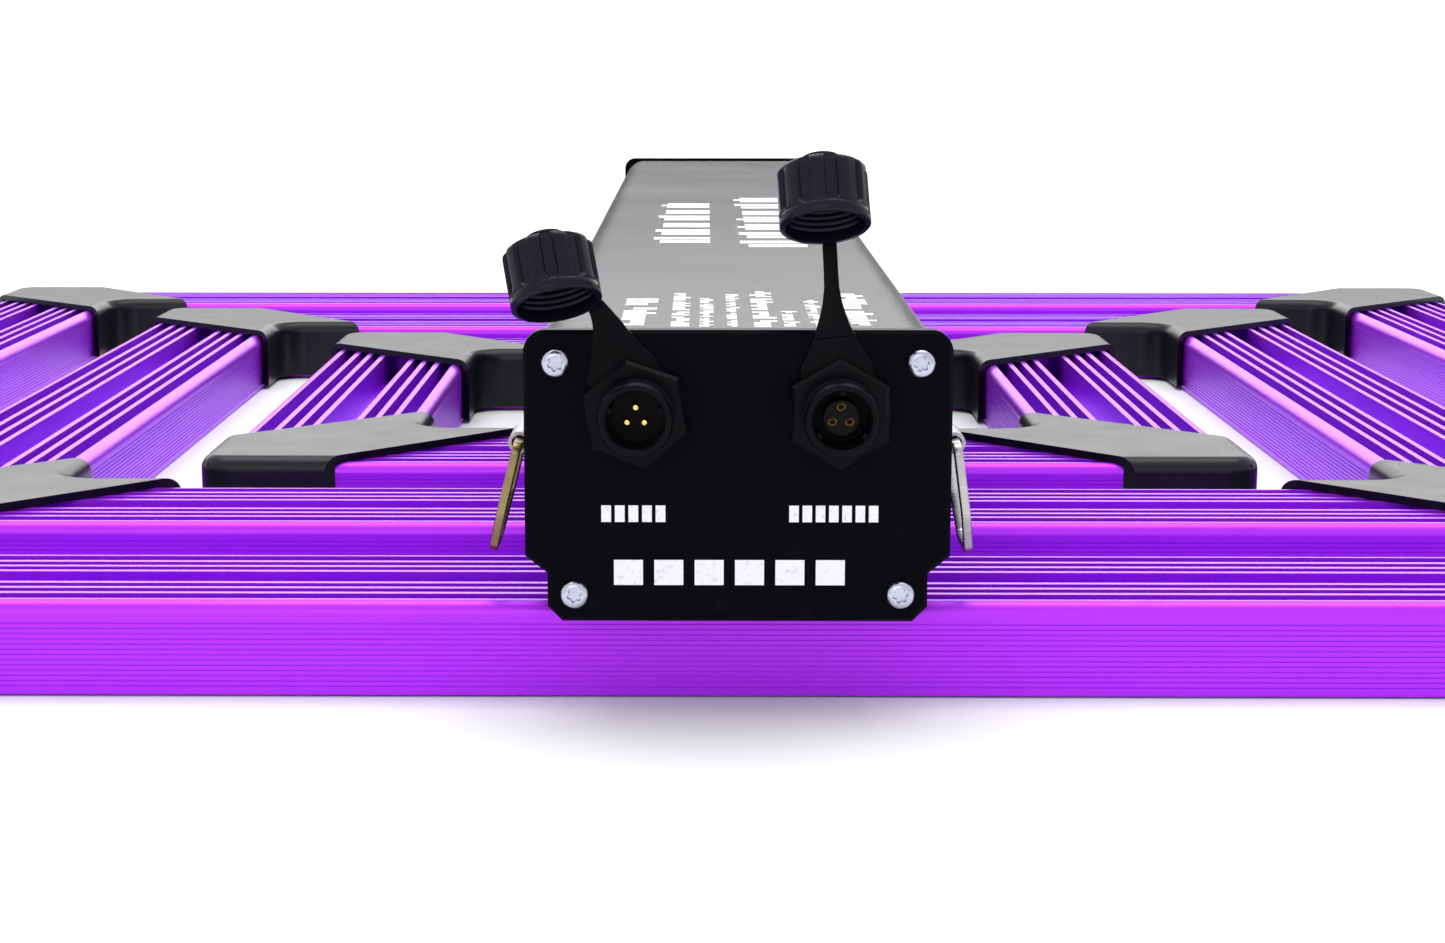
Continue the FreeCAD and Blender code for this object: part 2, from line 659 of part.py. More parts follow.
def gasket(name):
    """A rubber frame that follows the housing's end."""
    seal = body(name)
    outline = sketch(seal, name + "_outline", "XZ_Plane")
    polygon(outline, mirrored_outline(end_outline("(housing_inset + gasket_margin)")))
    strip = pad(seal, outline, "gasket_thick")
    strip.Reversed = True
    doc.recompute()
    round_top(seal, value("plate_half - housing_inset - gasket_margin"),
              value("plate_tall - housing_inset - gasket_margin"),
              "housing_radius - gasket_margin")
    hole = sketch(seal, name + "_hole", "XZ_Plane")
    inner = "plate_half - housing_inset - housing_wall - gasket_land"
    foot = "lower_screw_x - screw_boss"
    polygon(hole, mirrored_outline([
        (foot, "housing_wall + 1"),
        (foot, "lower_screw_rise + screw_boss + 6"),
        (inner, "lower_screw_rise + screw_boss + 10"),
        (inner, "plate_tall - upper_screw_drop - screw_boss"),
        ("upper_screw_x - screw_boss", "plate_tall - upper_screw_drop - screw_boss"),
        ("upper_screw_x - screw_boss", "plate_tall - housing_inset - housing_wall - 1")]))
    pocket(seal, hole, symmetric=True)
    screws = sketch(seal, name + "_screws", "XZ_Plane")
    for x, z in SCREW_SPOTS:
        circle(screws, x, z, "screw_radius + 2 * thread_gap")
    pocket(seal, screws, symmetric=True)
    return seal


def pan_screw():
    """A pan-head screw along +Z, its head below the origin."""
    head = cylinder("plate_screw_head", "screw_head_radius", "screw_head_tall", (0, 0, "-screw_head_tall"))
    crown = doc.addObject("Part::Fillet", "plate_screw_crown")
    crown.Base = head
    doc.recompute()
    rim = [number for number, edge in enumerate(head.Shape.Edges, start=1)
           if near(edge.CenterOfMass.z, -value("screw_head_tall")) and len(edge.Vertexes) == 1]
    crown.Edges = [(rim[0], value("head_crown"), value("head_crown"))]
    shank = cylinder("plate_screw_shank", "screw_radius", "screw_long", (0, 0, -0.5))
    socket = hexagon("plate_screw_socket", "recess_radius", "recess_deep", (0, 0, "-screw_head_tall"))
    return cut("plate_screw", fuse("plate_screw_solid", crown, shank), socket)


def make_driver():
    driver_housing()
    sockets = [("socket_x", SOCKET_RISE, "stem_radius + fit_gap"),
               ("-socket_x", SOCKET_RISE, "stem_radius + fit_gap")]
    front = end_plate("front_plate", sockets)
    node(place(front, 0, f"-{PLATE_FACE}", "bar_height"), "driver_front_plate")
    rear = end_plate("rear_plate", [("0", "plate_tall / 2", "inlet_bore + 1 + fit_gap")])
    node(place(rear, 0, PLATE_FACE, "bar_height", about(Z_AXIS, 180)), "driver_rear_plate")
    seal = gasket("gasket")
    seals = []
    screws = []
    screw = pan_screw()
    for end, sign, turn in (("front", "-", 0), ("rear", "", 180)):
        inward = "+" if sign == "-" else "-"
        seals.append(copy(f"{end}_seal", seal, 0, f"{sign}{PLATE_FACE} {inward} plate_thick", "bar_height",
                          about(Z_AXIS, turn)))
        for number, (x, z) in enumerate(SCREW_SPOTS):
            aim = about(Z_AXIS, turn).multiply(about(X_AXIS, -90))
            screws.append(copy(f"{end}_plate_screw_{number}", screw, x, f"{sign}{PLATE_FACE}",
                               f"bar_height + {z}", aim))
    node(group("seals", *seals), "end_plate_gaskets")
    node(group("screws", *screws), "end_plate_screws")
    make_driver_inside()
    make_fixing_screws()


def make_driver_inside():
    """The circuit board on the housing's ledges, with its transformer and capacitors."""
    board_level = "bar_height + foot_tall + foot_slope + housing_wall"
    half = "plate_half - housing_inset - housing_wall - fit_gap"
    board = middle_box("driver_pcb", (f"2 * ({half})", "pcb_long", "board_thick"), (0, 0, board_level))
    node(board, "driver_board")
    top = f"{board_level} + board_thick"
    core = middle_box("transformer_core", ("transformer_wide", "transformer_long", "transformer_tall"),
                      (0, "transformer_y", top))
    winding = middle_box("transformer_winding", ("winding_wide", "winding_long", "winding_tall"),
                         (0, "transformer_y", f"{top} + winding_lift"))
    node(fuse("transformer", core, winding), "driver_transformer")
    cans = [cylinder(f"capacitor_{column}_{row}", "can_radius", "can_tall",
                     (f"can_spread * {column}", f"can_first + can_step * {row}", top))
            for column in (-1, 0, 1) for row in range(3)]
    node(group("capacitors", *cans), "driver_capacitors")


def make_fixing_screws():
    """Screws up through the front and back bars into the floor of the driver housing."""
    screw = flat_screw("fixing_screw", "fixing_radius", "flat_head_radius",
                       "bar_height - floor_level + fixing_bite - 0.2")
    screws = []
    for ring in range(len(RINGS)):
        for end in ("-", ""):
            for side in ("-", ""):
                screws.append(copy(f"fixing_screw_{len(screws)}", screw, f"{side}fixing_x",
                                   f"{end}({ring_half(ring)} - bar_width / 2)", "floor_level"))
    node(group("fixing_screws", *screws), "driver_fixing_screws")


def each(names, text):
    return {name: value(name + text) for name in names}


LEANS = each(("left", "right"), "_strap_lean")
CAP_LEANS = each(("left", "right"), "_cap_lean")
CAP_RISES = each(("left", "right"), "_cap_rise")
HEX_TURNS = each(("left", "right"), "_hex_turn")
HANG_LEANS = each(("front_left", "front_right", "back_left", "back_right"), "_hang")


# ---- Signal sockets -----------------------------------------------------------------------------
SOCKET_RISE = "(plate_tall - socket_drop)"
SOCKET_LEVEL = f"(bar_height + {SOCKET_RISE})"
FACING = about(X_AXIS, 90)     # turns a piece made along +Z to face the front


def socket_shell(side):
    """A threaded barrel with a hexagonal flange, open at the front, its seat on the origin."""
    flange = hexagon(side + "_flange", "hex_flat", "hex_thick", (0, 0, "tether_thick"))
    flange.Placement.Rotation = about(Z_AXIS, 30 + HEX_TURNS[side])
    barrel = cylinder(side + "_barrel", "thread_radius", "socket_reach")
    stem = cylinder(side + "_stem", "stem_radius", "stem_long", (0, 0, "-stem_long"))
    bore = cylinder(side + "_bore", "socket_bore", "socket_reach + 1", (0, 0, "0"))
    wire_way = cylinder(side + "_wire_way", "socket_bore - shell_wall", "stem_long + 1",
                        (0, 0, "-stem_long - 0.5"))
    return cut(side + "_shell", fuse(side + "_shell_solid", flange, barrel, stem), bore, wire_way)


def contact_spots():
    """Three contacts on a circle, one of them at the top."""
    for number in range(3):
        angle = math.radians(90 + 120 * number)
        yield number, f"pin_circle * {math.cos(angle):.5f}", f"pin_circle * {math.sin(angle):.5f}"


def make_socket(side, sign):
    at = (f"{sign}socket_x", f"-{PLATE_FACE}", SOCKET_LEVEL)
    node(place(socket_shell(side), *at, FACING), f"{side}_socket_shell")
    disc = cylinder(side + "_disc", "socket_bore", "insert_floor")
    holes = []
    contacts = []
    for number, x, y in contact_spots():
        if side == "left":
            holes.append(cylinder(f"left_seat_{number}", "pin_radius", "insert_floor + 1", (x, y, -0.5)))
            contacts.append(cylinder(f"left_pin_{number}", "pin_radius", "insert_floor + core_long", (x, y, 0)))
        else:
            holes.append(cylinder(f"right_way_{number}", "sleeve_radius", "insert_floor + core_long + 1",
                                  (x, y, -0.5)))
            sleeve = cylinder(f"right_sleeve_{number}", "sleeve_radius", "core_long", (x, y, 0))
            eye = cylinder(f"right_eye_{number}", "pin_radius", "core_long", (x, y, 1))
            contacts.append(cut(f"right_contact_{number}", sleeve, eye))
    if side == "right":
        core = cylinder("right_core", "core_radius", "insert_floor + core_long")
        disc = fuse("right_insert_solid", disc, core)
    node(place(cut(side + "_insert", disc, *holes), *at, FACING), f"{side}_socket_insert")
    label = "left_socket_pins" if side == "left" else "right_socket_sleeves"
    node(place(group(side + "_contacts", *contacts), *at, FACING), label)


# ---- Dust caps on their tethers -----------------------------------------------------------------
def bend_spot(side, sign):
    """Where the strap bends, above the socket: x, y and z in sheet words, and the turn that leans it."""
    lean = math.radians(LEANS[side])
    x = f"{sign}socket_x - tether_reach * {math.sin(lean):.6f}"
    y = f"-{PLATE_FACE} - tether_thick / 2"
    z = f"{SOCKET_LEVEL} + tether_reach * {math.cos(lean):.6f}"
    return x, y, z, about(Y_AXIS, -LEANS[side])


def cap_placement(side, sign):
    """The dust cap's middle and aim; its forward offset makes it meet the socket's axis when swung down."""
    x, y, z, lean = bend_spot(side, sign)
    bend = Vector(value(x), value(y), value(z))
    tilt = math.radians(value("cap_tilt"))
    rise = CAP_RISES[side]
    forward = (value("tether_reach") - rise * math.sin(tilt)) / math.cos(tilt)
    middle = bend + lean.multVec(Vector(0, -forward, rise))
    aim = about(Y_AXIS, -CAP_LEANS[side]).multiply(about(X_AXIS, -math.degrees(tilt)))
    return Placement(middle, aim)


def tether_ring(side, sign):
    """The root of the tether: a rubber washer under the flange with a tab up to the bend."""
    washer = cylinder(side + "_washer", "tether_outer", "tether_thick")
    tab_long = "tether_reach - tether_gap - thread_radius"
    tab = box(side + "_tab", ("tether_width", tab_long, "tether_thick"),
              ("-tether_width / 2", "thread_radius", 0))
    hole = cylinder(side + "_washer_hole", "thread_radius + fit_gap", "tether_thick + 2", (0, 0, -1))
    ring = cut(side + "_tether_root", fuse(side + "_tether_blank", washer, tab), hole)
    aim = FACING.multiply(about(Z_AXIS, LEANS[side]))
    place(ring, f"{sign}socket_x", f"-{PLATE_FACE}", SOCKET_LEVEL, aim)
    node(ring, f"{side}_tether_ring")


def strap_shape(side, sign):
    """The strap from the bend, up behind the cap and over its closed end to a ring round the nub."""
    x, y, z, lean = bend_spot(side, sign)
    bend = Placement(Vector(value(x), value(y), value(z)), lean)
    cap = cap_placement(side, sign)
    to_bend = bend.inverse().multiply(cap)
    half = value("tether_width / 2")
    thick = value("tether_thick")
    edge = value("cap_radius + fit_gap + strap_clear")
    seat = value("cap_long / 2 + fit_gap")
    lift = value("tether_lift")
    clear = (value("bar_height + plate_tall") - bend.Base.z) / math.cos(math.radians(LEANS[side])) + 2 * thick
    root = Part.makeBox(2 * half, thick, clear, Vector(-half, -lift - thick / 2, 0))
    foot = [Vector(-half, -lift - thick / 2, clear - thick), Vector(half, -lift - thick / 2, clear - thick),
            Vector(half, -lift + thick / 2, clear - thick), Vector(-half, -lift + thick / 2, clear - thick)]
    slim = half * value("strap_slim")
    head = [Vector(-slim, edge, seat + thick), Vector(slim, edge, seat + thick),
            Vector(slim, edge + thick, seat + thick), Vector(-slim, edge + thick, seat + thick)]
    head = [to_bend.multVec(spot) for spot in head]
    riser = Part.makeLoft([Part.makePolygon(foot + foot[:1]), Part.makePolygon(head + head[:1])], True, True)
    run = Part.makeBox(2 * slim, edge + thick, thick, Vector(-slim, 0, seat))
    eye = Part.makeCylinder(value("nub_radius + eye_wall"), thick, Vector(0, 0, seat))
    hole = Part.makeCylinder(value("nub_radius + fit_gap"), thick + 2, Vector(0, 0, seat - 1))
    top = run.fuse(eye).cut(hole)
    top.Placement = to_bend
    return riser.fuse([root, top]).removeSplitter(), bend


def make_strap(side, sign):
    shape, bend = strap_shape(side, sign)
    strap = doc.addObject("Part::Feature", side + "_strap")
    strap.Shape = shape
    strap.Placement = bend
    node(strap, f"{side}_tether_strap")


def cap_body(side):
    """A fluted cap along Z, its middle on the origin, open below, with a headed nub on its closed end."""
    cap = body(side + "_cap")
    profile = sketch(cap, side + "_cap_profile", "XZ_Plane")
    polygon(profile, [("0", "cap_long / 2 - cap_end"),
                      ("cap_bore", "cap_long / 2 - cap_end"),
                      ("cap_bore", "-cap_long / 2"),
                      ("cap_radius", "-cap_long / 2"),
                      ("cap_radius", "cap_long / 2"),
                      ("nub_radius", "cap_long / 2"),
                      ("nub_radius", "cap_long / 2 + nub_tall - nub_head_tall"),
                      ("nub_head_radius", "cap_long / 2 + nub_tall - nub_head_tall"),
                      ("nub_head_radius", "cap_long / 2 + nub_tall"),
                      ("0", "cap_long / 2 + nub_tall")])
    turned = cap.newObject("PartDesign::Revolution", side + "_cap_turned")
    turned.Profile = profile
    turned.ReferenceAxis = (profile, ["V_Axis"])
    turned.Angle = 360
    doc.recompute()
    flute = sketch(cap, side + "_cap_flute", "XY_Plane", "cap_band - cap_long / 2")
    circle(flute, "cap_radius + flute_radius * flute_sink", "0", "flute_radius")
    first = pocket(cap, flute, "cap_long", backwards=True)
    ring = cap.newObject("PartDesign::PolarPattern", side + "_cap_flutes")
    ring.Originals = [first]
    ring.Axis = (flute, ["N_Axis"])
    ring.Angle = 360
    bind(ring, Occurrences="flute_count")
    cap.Tip = ring
    doc.recompute()
    return cap


def make_caps():
    for side, sign in (("left", "-"), ("right", "")):
        make_socket(side, sign)
        tether_ring(side, sign)
        make_strap(side, sign)
        cap = cap_body(side)
        cap.Placement = cap_placement(side, sign)
        node(cap, f"{side}_dust_cap")


# ---- Power inlet --------------------------------------------------------------------------------
def make_inlet():
    """A round power inlet in the rear plate. It reaches as far back as the dust caps reach forward."""
    front_most = min(obj.Shape.BoundBox.YMin for obj in nodes)
    reach = -front_most - value(PLATE_FACE)
    at = (0, PLATE_FACE, "bar_height + plate_tall / 2")
    aim = about(X_AXIS, -90)
    flange = middle_box("inlet_flange", ("2 * inlet_flange", "2 * inlet_flange", "inlet_flange_thick"))
    barrel = cylinder("inlet_barrel", "inlet_radius", reach)
    stem = cylinder("inlet_stem", "inlet_bore + 1", "stem_long", (0, 0, "-stem_long"))
    bore = cylinder("inlet_hollow", "inlet_bore", reach, (0, 0, "inlet_floor"))
    wire_way = cylinder("inlet_wire_way", "inlet_bore - 2", "stem_long + 4", (0, 0, "-stem_long - 1"))
    shell = cut("inlet_shell", fuse("inlet_solid", flange, barrel, stem), bore, wire_way)
    node(place(shell, *at, aim), "power_inlet_shell")
    disc = cylinder("inlet_disc", "inlet_bore", "inlet_floor", (0, 0, "inlet_floor"))
    pins = []
    for number in range(3):
        angle = math.radians(90 + 120 * number)
        pins.append(cylinder(f"inlet_pin_{number}", "inlet_pin_radius", f"{reach} - inlet_pin_short",
                             (f"inlet_pin_circle * {math.cos(angle):.5f}",
                              f"inlet_pin_circle * {math.sin(angle):.5f}", "inlet_floor")))
    node(place(fuse("inlet_contacts", disc, *pins), *at, aim), "power_inlet_contacts")


# ---- Hanging rings ------------------------------------------------------------------------------
HANGER_X = "(plate_half - housing_inset + hanger_off)"
HANGER_Y = f"({PLATE_FACE} - hanger_inset)"
HANGER_Z = "(bar_height + plate_tall - hanger_drop)"


def hanging_ring(corner):
    """A flat ring in the YZ plane, its pivot bar along Y on the origin, hanging down."""
    ring = body(corner + "_ring")
    outline = sketch(ring, corner + "_ring_outline", "YZ_Plane")
    polygon(outline, mirrored_outline([
        ("hanger_wide * 0.28", "-hanger_tall"),
        ("hanger_wide / 2", "-hanger_tall * 0.62"),
        ("hanger_wide / 2", "-hanger_bar / 2"),
        ("hanger_wide / 2", "hanger_bar / 2")]))
    polygon(outline, mirrored_outline([
        ("hanger_wide * 0.28 - hanger_bar * 0.45", "-hanger_tall + hanger_bar"),
        ("hanger_wide / 2 - hanger_bar", "-hanger_tall * 0.62 + hanger_bar * 0.4"),
        ("hanger_wide / 2 - hanger_bar", "-hanger_bar / 2")]))
    pad(ring, outline, "hanger_thick", symmetric=True)
    return ring


def hanger_bracket():
    """A thin plate against the housing, with a knuckle for the ring's bar along Y through the origin."""
    knuckle = cylinder("knuckle", "knuckle_radius", "knuckle_long", (0, "-knuckle_long / 2", 0),
                       about(X_AXIS, -90))
    plate = box("bracket_plate", ("bracket_thick", "knuckle_long", "bracket_tall"),
                ("-hanger_off", "-knuckle_long / 2", "-bracket_tall / 3"))
    bore = cylinder("knuckle_bore_tool", "knuckle_bore", "knuckle_long + 2",
                    (0, "-knuckle_long / 2 - 1", 0), about(X_AXIS, -90))
    return cut("bracket", fuse("bracket_blank", knuckle, plate), bore)


def make_hangers():
    bracket = hanger_bracket()
    brackets = []
    for corner, lean in HANG_LEANS.items():
        end, side = corner.split("_")
        x_sign = "-" if side == "left" else ""
        y_sign = "-" if end == "front" else ""
        at = (x_sign + HANGER_X, y_sign + HANGER_Y, HANGER_Z)
        brackets.append(copy(corner + "_bracket", bracket, *at, about(Z_AXIS, 180 if side == "left" else 0)))
        turn = lean if side == "left" else -lean
        node(place(hanging_ring(corner), *at, about(Y_AXIS, turn)), f"{corner}_hanging_ring")
    node(group("brackets", *brackets), "hanging_ring_brackets")


# ---- The whole light ----------------------------------------------------------------------------
make_bars(bar_stock())
make_corner_covers()
make_corner_keys()
make_light_strips()
make_driver()
make_caps()
doc.recompute()
make_inlet()
make_hangers()
doc.recompute()

for obj in doc.Objects:
    if "Invalid" in obj.State or "Error" in obj.State:
        raise RuntimeError(f"{obj.Name} did not build: {obj.State}")
for obj in nodes:
    if obj.Shape.isNull() or not obj.Shape.isValid() or not obj.Shape.Solids:
        raise RuntimeError(f"{obj.Label} has no valid solid")
if len({obj.Label for obj in nodes}) != len(nodes):
    raise RuntimeError("two sub-parts share a label")
for obj in nodes:
    obj.Shape.exportStep(f"parts/{obj.Label}.step")
whole = FreeCAD.BoundBox()
for obj in nodes:
    whole.add(obj.Shape.BoundBox)
print(len(nodes), "nodes,", sum(len(obj.Shape.Solids) for obj in nodes), "solids")
print("box", round(whole.XLength, 2), "x", round(whole.YLength, 2), "x", round(whole.ZLength, 2))
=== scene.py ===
# %% [markdown]
# # A square LED grow light
# The light is three nested square rings of finned aluminium bars, with a driver box across the top.
# The engineering model already holds its exact shape, so this lesson loads that model, and then
# gives it the finishes and the small moulded, stamped and printed details that the eye looks for.
# Everything is in metres, with +Z up and +Y away from the sockets.

# %% Load the frame
import json
import math
import random
import bpy
from mathutils import Matrix, Quaternion, Vector


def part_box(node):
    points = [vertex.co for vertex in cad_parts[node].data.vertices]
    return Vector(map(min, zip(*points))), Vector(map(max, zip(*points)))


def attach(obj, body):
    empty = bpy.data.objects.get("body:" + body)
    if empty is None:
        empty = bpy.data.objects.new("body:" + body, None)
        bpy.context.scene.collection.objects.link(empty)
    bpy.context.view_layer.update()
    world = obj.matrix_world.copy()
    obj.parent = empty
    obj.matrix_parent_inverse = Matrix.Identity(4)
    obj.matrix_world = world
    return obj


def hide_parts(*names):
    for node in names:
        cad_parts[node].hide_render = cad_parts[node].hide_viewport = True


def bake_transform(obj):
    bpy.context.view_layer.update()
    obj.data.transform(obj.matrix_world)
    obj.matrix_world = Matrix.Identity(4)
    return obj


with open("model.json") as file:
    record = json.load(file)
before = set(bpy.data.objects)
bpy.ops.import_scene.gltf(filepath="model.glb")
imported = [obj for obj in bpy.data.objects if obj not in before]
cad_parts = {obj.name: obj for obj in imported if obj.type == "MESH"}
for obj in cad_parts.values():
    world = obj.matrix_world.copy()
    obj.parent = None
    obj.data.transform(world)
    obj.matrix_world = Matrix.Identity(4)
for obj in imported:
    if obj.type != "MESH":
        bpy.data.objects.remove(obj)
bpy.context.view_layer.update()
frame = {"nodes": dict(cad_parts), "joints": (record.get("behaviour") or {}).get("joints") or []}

nodes = frame["nodes"]
joints = {joint["name"]: joint for joint in frame["joints"]}
MM = 0.001

# %% [markdown]
# ## Camera, floor and light
# A product picture of a light like this is taken from low in front, with a long lens and a very
# bright white room. The camera comes first, because every later choice is judged through it.
# Shift lenses keep uprights upright; here a small sideways shift sets the light a little to the
# right of the lens's own axis.

# %% Camera
EYE = Vector((-6.65, -839.3, 139.5)) * MM
PITCH = math.radians(9.92)
YAW = math.radians(-0.47)
look = Vector((math.sin(YAW) * math.cos(PITCH), math.cos(YAW) * math.cos(PITCH), -math.sin(PITCH)))
camera = bpy.data.objects.new("camera", bpy.data.cameras.new("camera"))
bpy.context.scene.collection.objects.link(camera)
camera.location = EYE
camera.rotation_euler = look.to_track_quat("-Z", "Y").to_euler()
camera.data.lens = 63.7
camera.data.sensor_width = 36
camera.data.shift_x = 0.0266
camera.data.clip_start = 0.01
bpy.context.scene.camera = camera
print("camera", camera.location[:], "lens", camera.data.lens)

# %% [markdown]
# ## Wires and graphs
# Blender's materials and geometry trees are graphs of nodes. Written out link by link they are
# hard to read, so two small classes do the joining: a `Wire` is the output of a node and can be
# added, multiplied and compared like a number, and a `Graph` adds any other node in one call.

# %% Wire and Graph
class Wire:
    """The output of a node; arithmetic on it adds Math nodes."""

    def __init__(self, graph, socket):
        self.graph = graph
        self.socket = socket

    def maths(self, operation, first, second):
        return self.graph.add("ShaderNodeMath", {"operation": operation}, {0: first, 1: second})

    def __add__(self, other):
        return self.maths("ADD", self, other)

    def __radd__(self, other):
        return self.maths("ADD", other, self)

    def __sub__(self, other):
        return self.maths("SUBTRACT", self, other)

    def __rsub__(self, other):
        return self.maths("SUBTRACT", other, self)

    def __mul__(self, other):
        return self.maths("MULTIPLY", self, other)

    def __rmul__(self, other):
        return self.maths("MULTIPLY", other, self)

    def __gt__(self, other):
        return self.maths("GREATER_THAN", self, other)

    def __mod__(self, other):
        return self.maths("FLOORED_MODULO", self, other)


class Graph:
    """A node tree that is built one call at a time."""

    def __init__(self, tree):
        self.tree = tree

    def add(self, kind, settings=None, inputs=None, output=0):
        node = self.tree.nodes.new(kind)
        for name, value in (settings or {}).items():
            if name == "stops":
                self.fill_ramp(node.color_ramp, value)
            else:
                setattr(node, name, value)
        for key, value in (inputs or {}).items():
            if isinstance(value, Wire):
                self.tree.links.new(value.socket, node.inputs[key])
            else:
                node.inputs[key].default_value = value
        return Wire(self, node.outputs[output]) if node.outputs else node

    def fill_ramp(self, ramp, stops):
        while len(ramp.elements) < len(stops):
            ramp.elements.new(0.5)
        for element, (place, shade) in zip(ramp.elements, stops):
            element.position = place
            element.color = shade if len(shade) == 4 else (*shade, 1)

    def mix(self, factor, low, high):
        """A colour between two colours."""
        return self.add("ShaderNodeMix", {"data_type": "RGBA"}, {0: factor, 6: low, 7: high}, 2)


def rgb(red, green, blue):
    return (red, green, blue, 1)


print("graph helpers ready")

# %% [markdown]
# ## What a finish is made of
# Each finish is a Principled surface. What is even over the piece, such as how metallic it is, is
# typed into the shader. What varies, such as a faint tone, a scuff or a grain, is worked out from
# the piece's own coordinates in metres, so a scale of 400 means about 400 spots to the metre.

# %% Finish helpers
def finish(name, build, **even):
    """A material: `even` sets the shader's own sockets, and build(graph) returns what varies."""
    material = bpy.data.materials.new(name)
    material.use_nodes = True
    material.node_tree.nodes.clear()
    graph = Graph(material.node_tree)
    shader = graph.add("ShaderNodeBsdfPrincipled")
    node = shader.socket.node
    for key, value in even.items():
        node.inputs[key.replace("_", " ")].default_value = value
    for key, value in build(graph).items():
        graph.tree.links.new(value.socket, node.inputs[key])
    graph.add("ShaderNodeOutputMaterial", inputs={"Surface": shader})
    return material


def place_of(graph, stretch=(1, 1, 1)):
    """The point's own coordinates, stretched so that a pattern runs long along one axis."""
    here = graph.add("ShaderNodeTexCoord", output=3)
    return graph.add("ShaderNodeMapping", inputs={"Vector": here, "Scale": stretch})


def noise(graph, where, scale, detail=3.0, rough=0.5):
    return graph.add("ShaderNodeTexNoise", inputs={"Vector": where, "Scale": scale, "Detail": detail,
                                                   "Roughness": rough})


def between(graph, wire, low, high):
    """The wire, 0 to 1, turned into low to high."""
    return wire * (high - low) + low


def bump(graph, height, distance, strength=1.0):
    return graph.add("ShaderNodeBump", inputs={"Height": height, "Distance": distance, "Strength": strength})


def contrast(graph, wire, low, high):
    """The wire pulled apart, so that low becomes 0 and high becomes 1."""
    return graph.add("ShaderNodeMapRange", inputs={"Value": wire, "From Min": low, "From Max": high})


def moulded(name, shade, rough, grain, depth, **even):
    """A moulded plastic: a fine spark-eroded grain and a slight unevenness of gloss."""
    def build(graph):
        where = place_of(graph)
        tone = noise(graph, where, 28, 2)
        fine = noise(graph, where, grain, 2)
        pale = tuple(min(1, part * 1.4 + 0.001) for part in shade)
        return {"Base Color": graph.mix(tone, rgb(*shade), rgb(*pale)),
                "Roughness": between(graph, noise(graph, where, 60, 3), rough - 0.06, rough + 0.08),
                "Normal": bump(graph, fine, depth)}
    return finish(name, build, **even)


def plated(name, shade, dull, rough, scale=240, **even):
    """A plated or bare metal: clouded tone and fine handling marks."""
    def build(graph):
        where = place_of(graph)
        cloud = noise(graph, where, scale, 4)
        marks = contrast(graph, noise(graph, place_of(graph, (1, 1, 12)), scale * 2, 2), 0.45, 0.75)
        return {"Base Color": graph.mix(cloud, rgb(*shade), rgb(*dull)),
                "Roughness": between(graph, marks, rough, rough + 0.16),
                "Normal": bump(graph, cloud, 0.00002)}
    return finish(name, build, Metallic=1.0, **even)


print("finish helpers ready")

# %% [markdown]
# ## Purple anodising
# Anodised aluminium is metal under a dyed glassy skin. It is mostly metallic, so it colours what
# it reflects, with some scattering in the dye, and the clear skin adds the pale sheen that shows
# where light strikes it at a low angle. Drawing the bar through its die leaves hairline streaks
# along its length, so bars that run along X and along Y each get their own direction.

# %% Anodised bars
PURPLE = (0.46, 0.014, 0.90)
DEEP_PURPLE = (0.40, 0.010, 0.84)


def anodised(name, stretch):
    def build(graph):
        streaks = noise(graph, place_of(graph, stretch), 900, 2)
        cloud = noise(graph, place_of(graph), 9, 3)
        return {"Base Color": graph.mix(cloud, rgb(*PURPLE), rgb(*DEEP_PURPLE)),
                "Roughness": between(graph, streaks, 0.34, 0.48),
                "Normal": bump(graph, streaks, 0.000015)}
    return finish(name, build, Metallic=0.72, Coat_Weight=0.3, Coat_Roughness=0.3, Coat_IOR=1.6)


anodised_along_x = anodised("anodised_along_x", (0.02, 1, 1))
anodised_along_y = anodised("anodised_along_y", (1, 0.02, 1))

# %% [markdown]
# ## The other finishes
# Corner covers and sockets are black moulded plastics of different gloss. The driver box has a
# powder coat, whose orange-peel texture is a bump of about a tenth of a millimetre, and its end
# plates a smoother satin coat. Zinc, steel and gold plating are metals with different tones; the
# darker gold is painted shade, for contacts that sit deep in their holes.

# %% Plastics, coats and metals
cover_plastic = moulded("cover_plastic", (0.004, 0.004, 0.008), 0.30, 900, 0.00002,
                        Specular_IOR_Level=0.25)
socket_plastic = moulded("socket_plastic", (0.0015, 0.0015, 0.003), 0.24, 1400, 0.00001,
                         Specular_IOR_Level=0.06)
insert_plastic = moulded("insert_plastic", (0.002, 0.002, 0.003), 0.42, 1400, 0.00001,
                         Specular_IOR_Level=0.08)
cap_plastic = moulded("cap_plastic", (0.003, 0.003, 0.009), 0.26, 1200, 0.00001,
                      Specular_IOR_Level=0.16)
tether_rubber = moulded("tether_rubber", (0.0012, 0.0012, 0.0025), 0.36, 1200, 0.00002,
                        Specular_IOR_Level=0.05)
gasket_rubber = moulded("gasket_rubber", (0.012, 0.012, 0.012), 0.7, 700, 0.00003)
board_green = moulded("board_green", (0.010, 0.12, 0.04), 0.35, 600, 0.00002)
winding_tape = moulded("winding_tape", (0.55, 0.36, 0.05), 0.3, 500, 0.00002)
can_sleeve = moulded("can_sleeve", (0.02, 0.03, 0.12), 0.25, 500, 0.00001)
bright_zinc = plated("bright_zinc", (0.62, 0.64, 0.74), (0.36, 0.38, 0.50), 0.20)
ring_steel = plated("ring_steel", (0.60, 0.58, 0.58), (0.34, 0.32, 0.32), 0.24)
ring_passivated = plated("ring_passivated", (0.40, 0.30, 0.14), (0.16, 0.12, 0.06), 0.26)
bracket_steel = plated("bracket_steel", (0.45, 0.45, 0.48), (0.30, 0.30, 0.33), 0.30)
key_metal = plated("key_metal", (0.78, 0.78, 0.80), (0.66, 0.66, 0.69), 0.34)
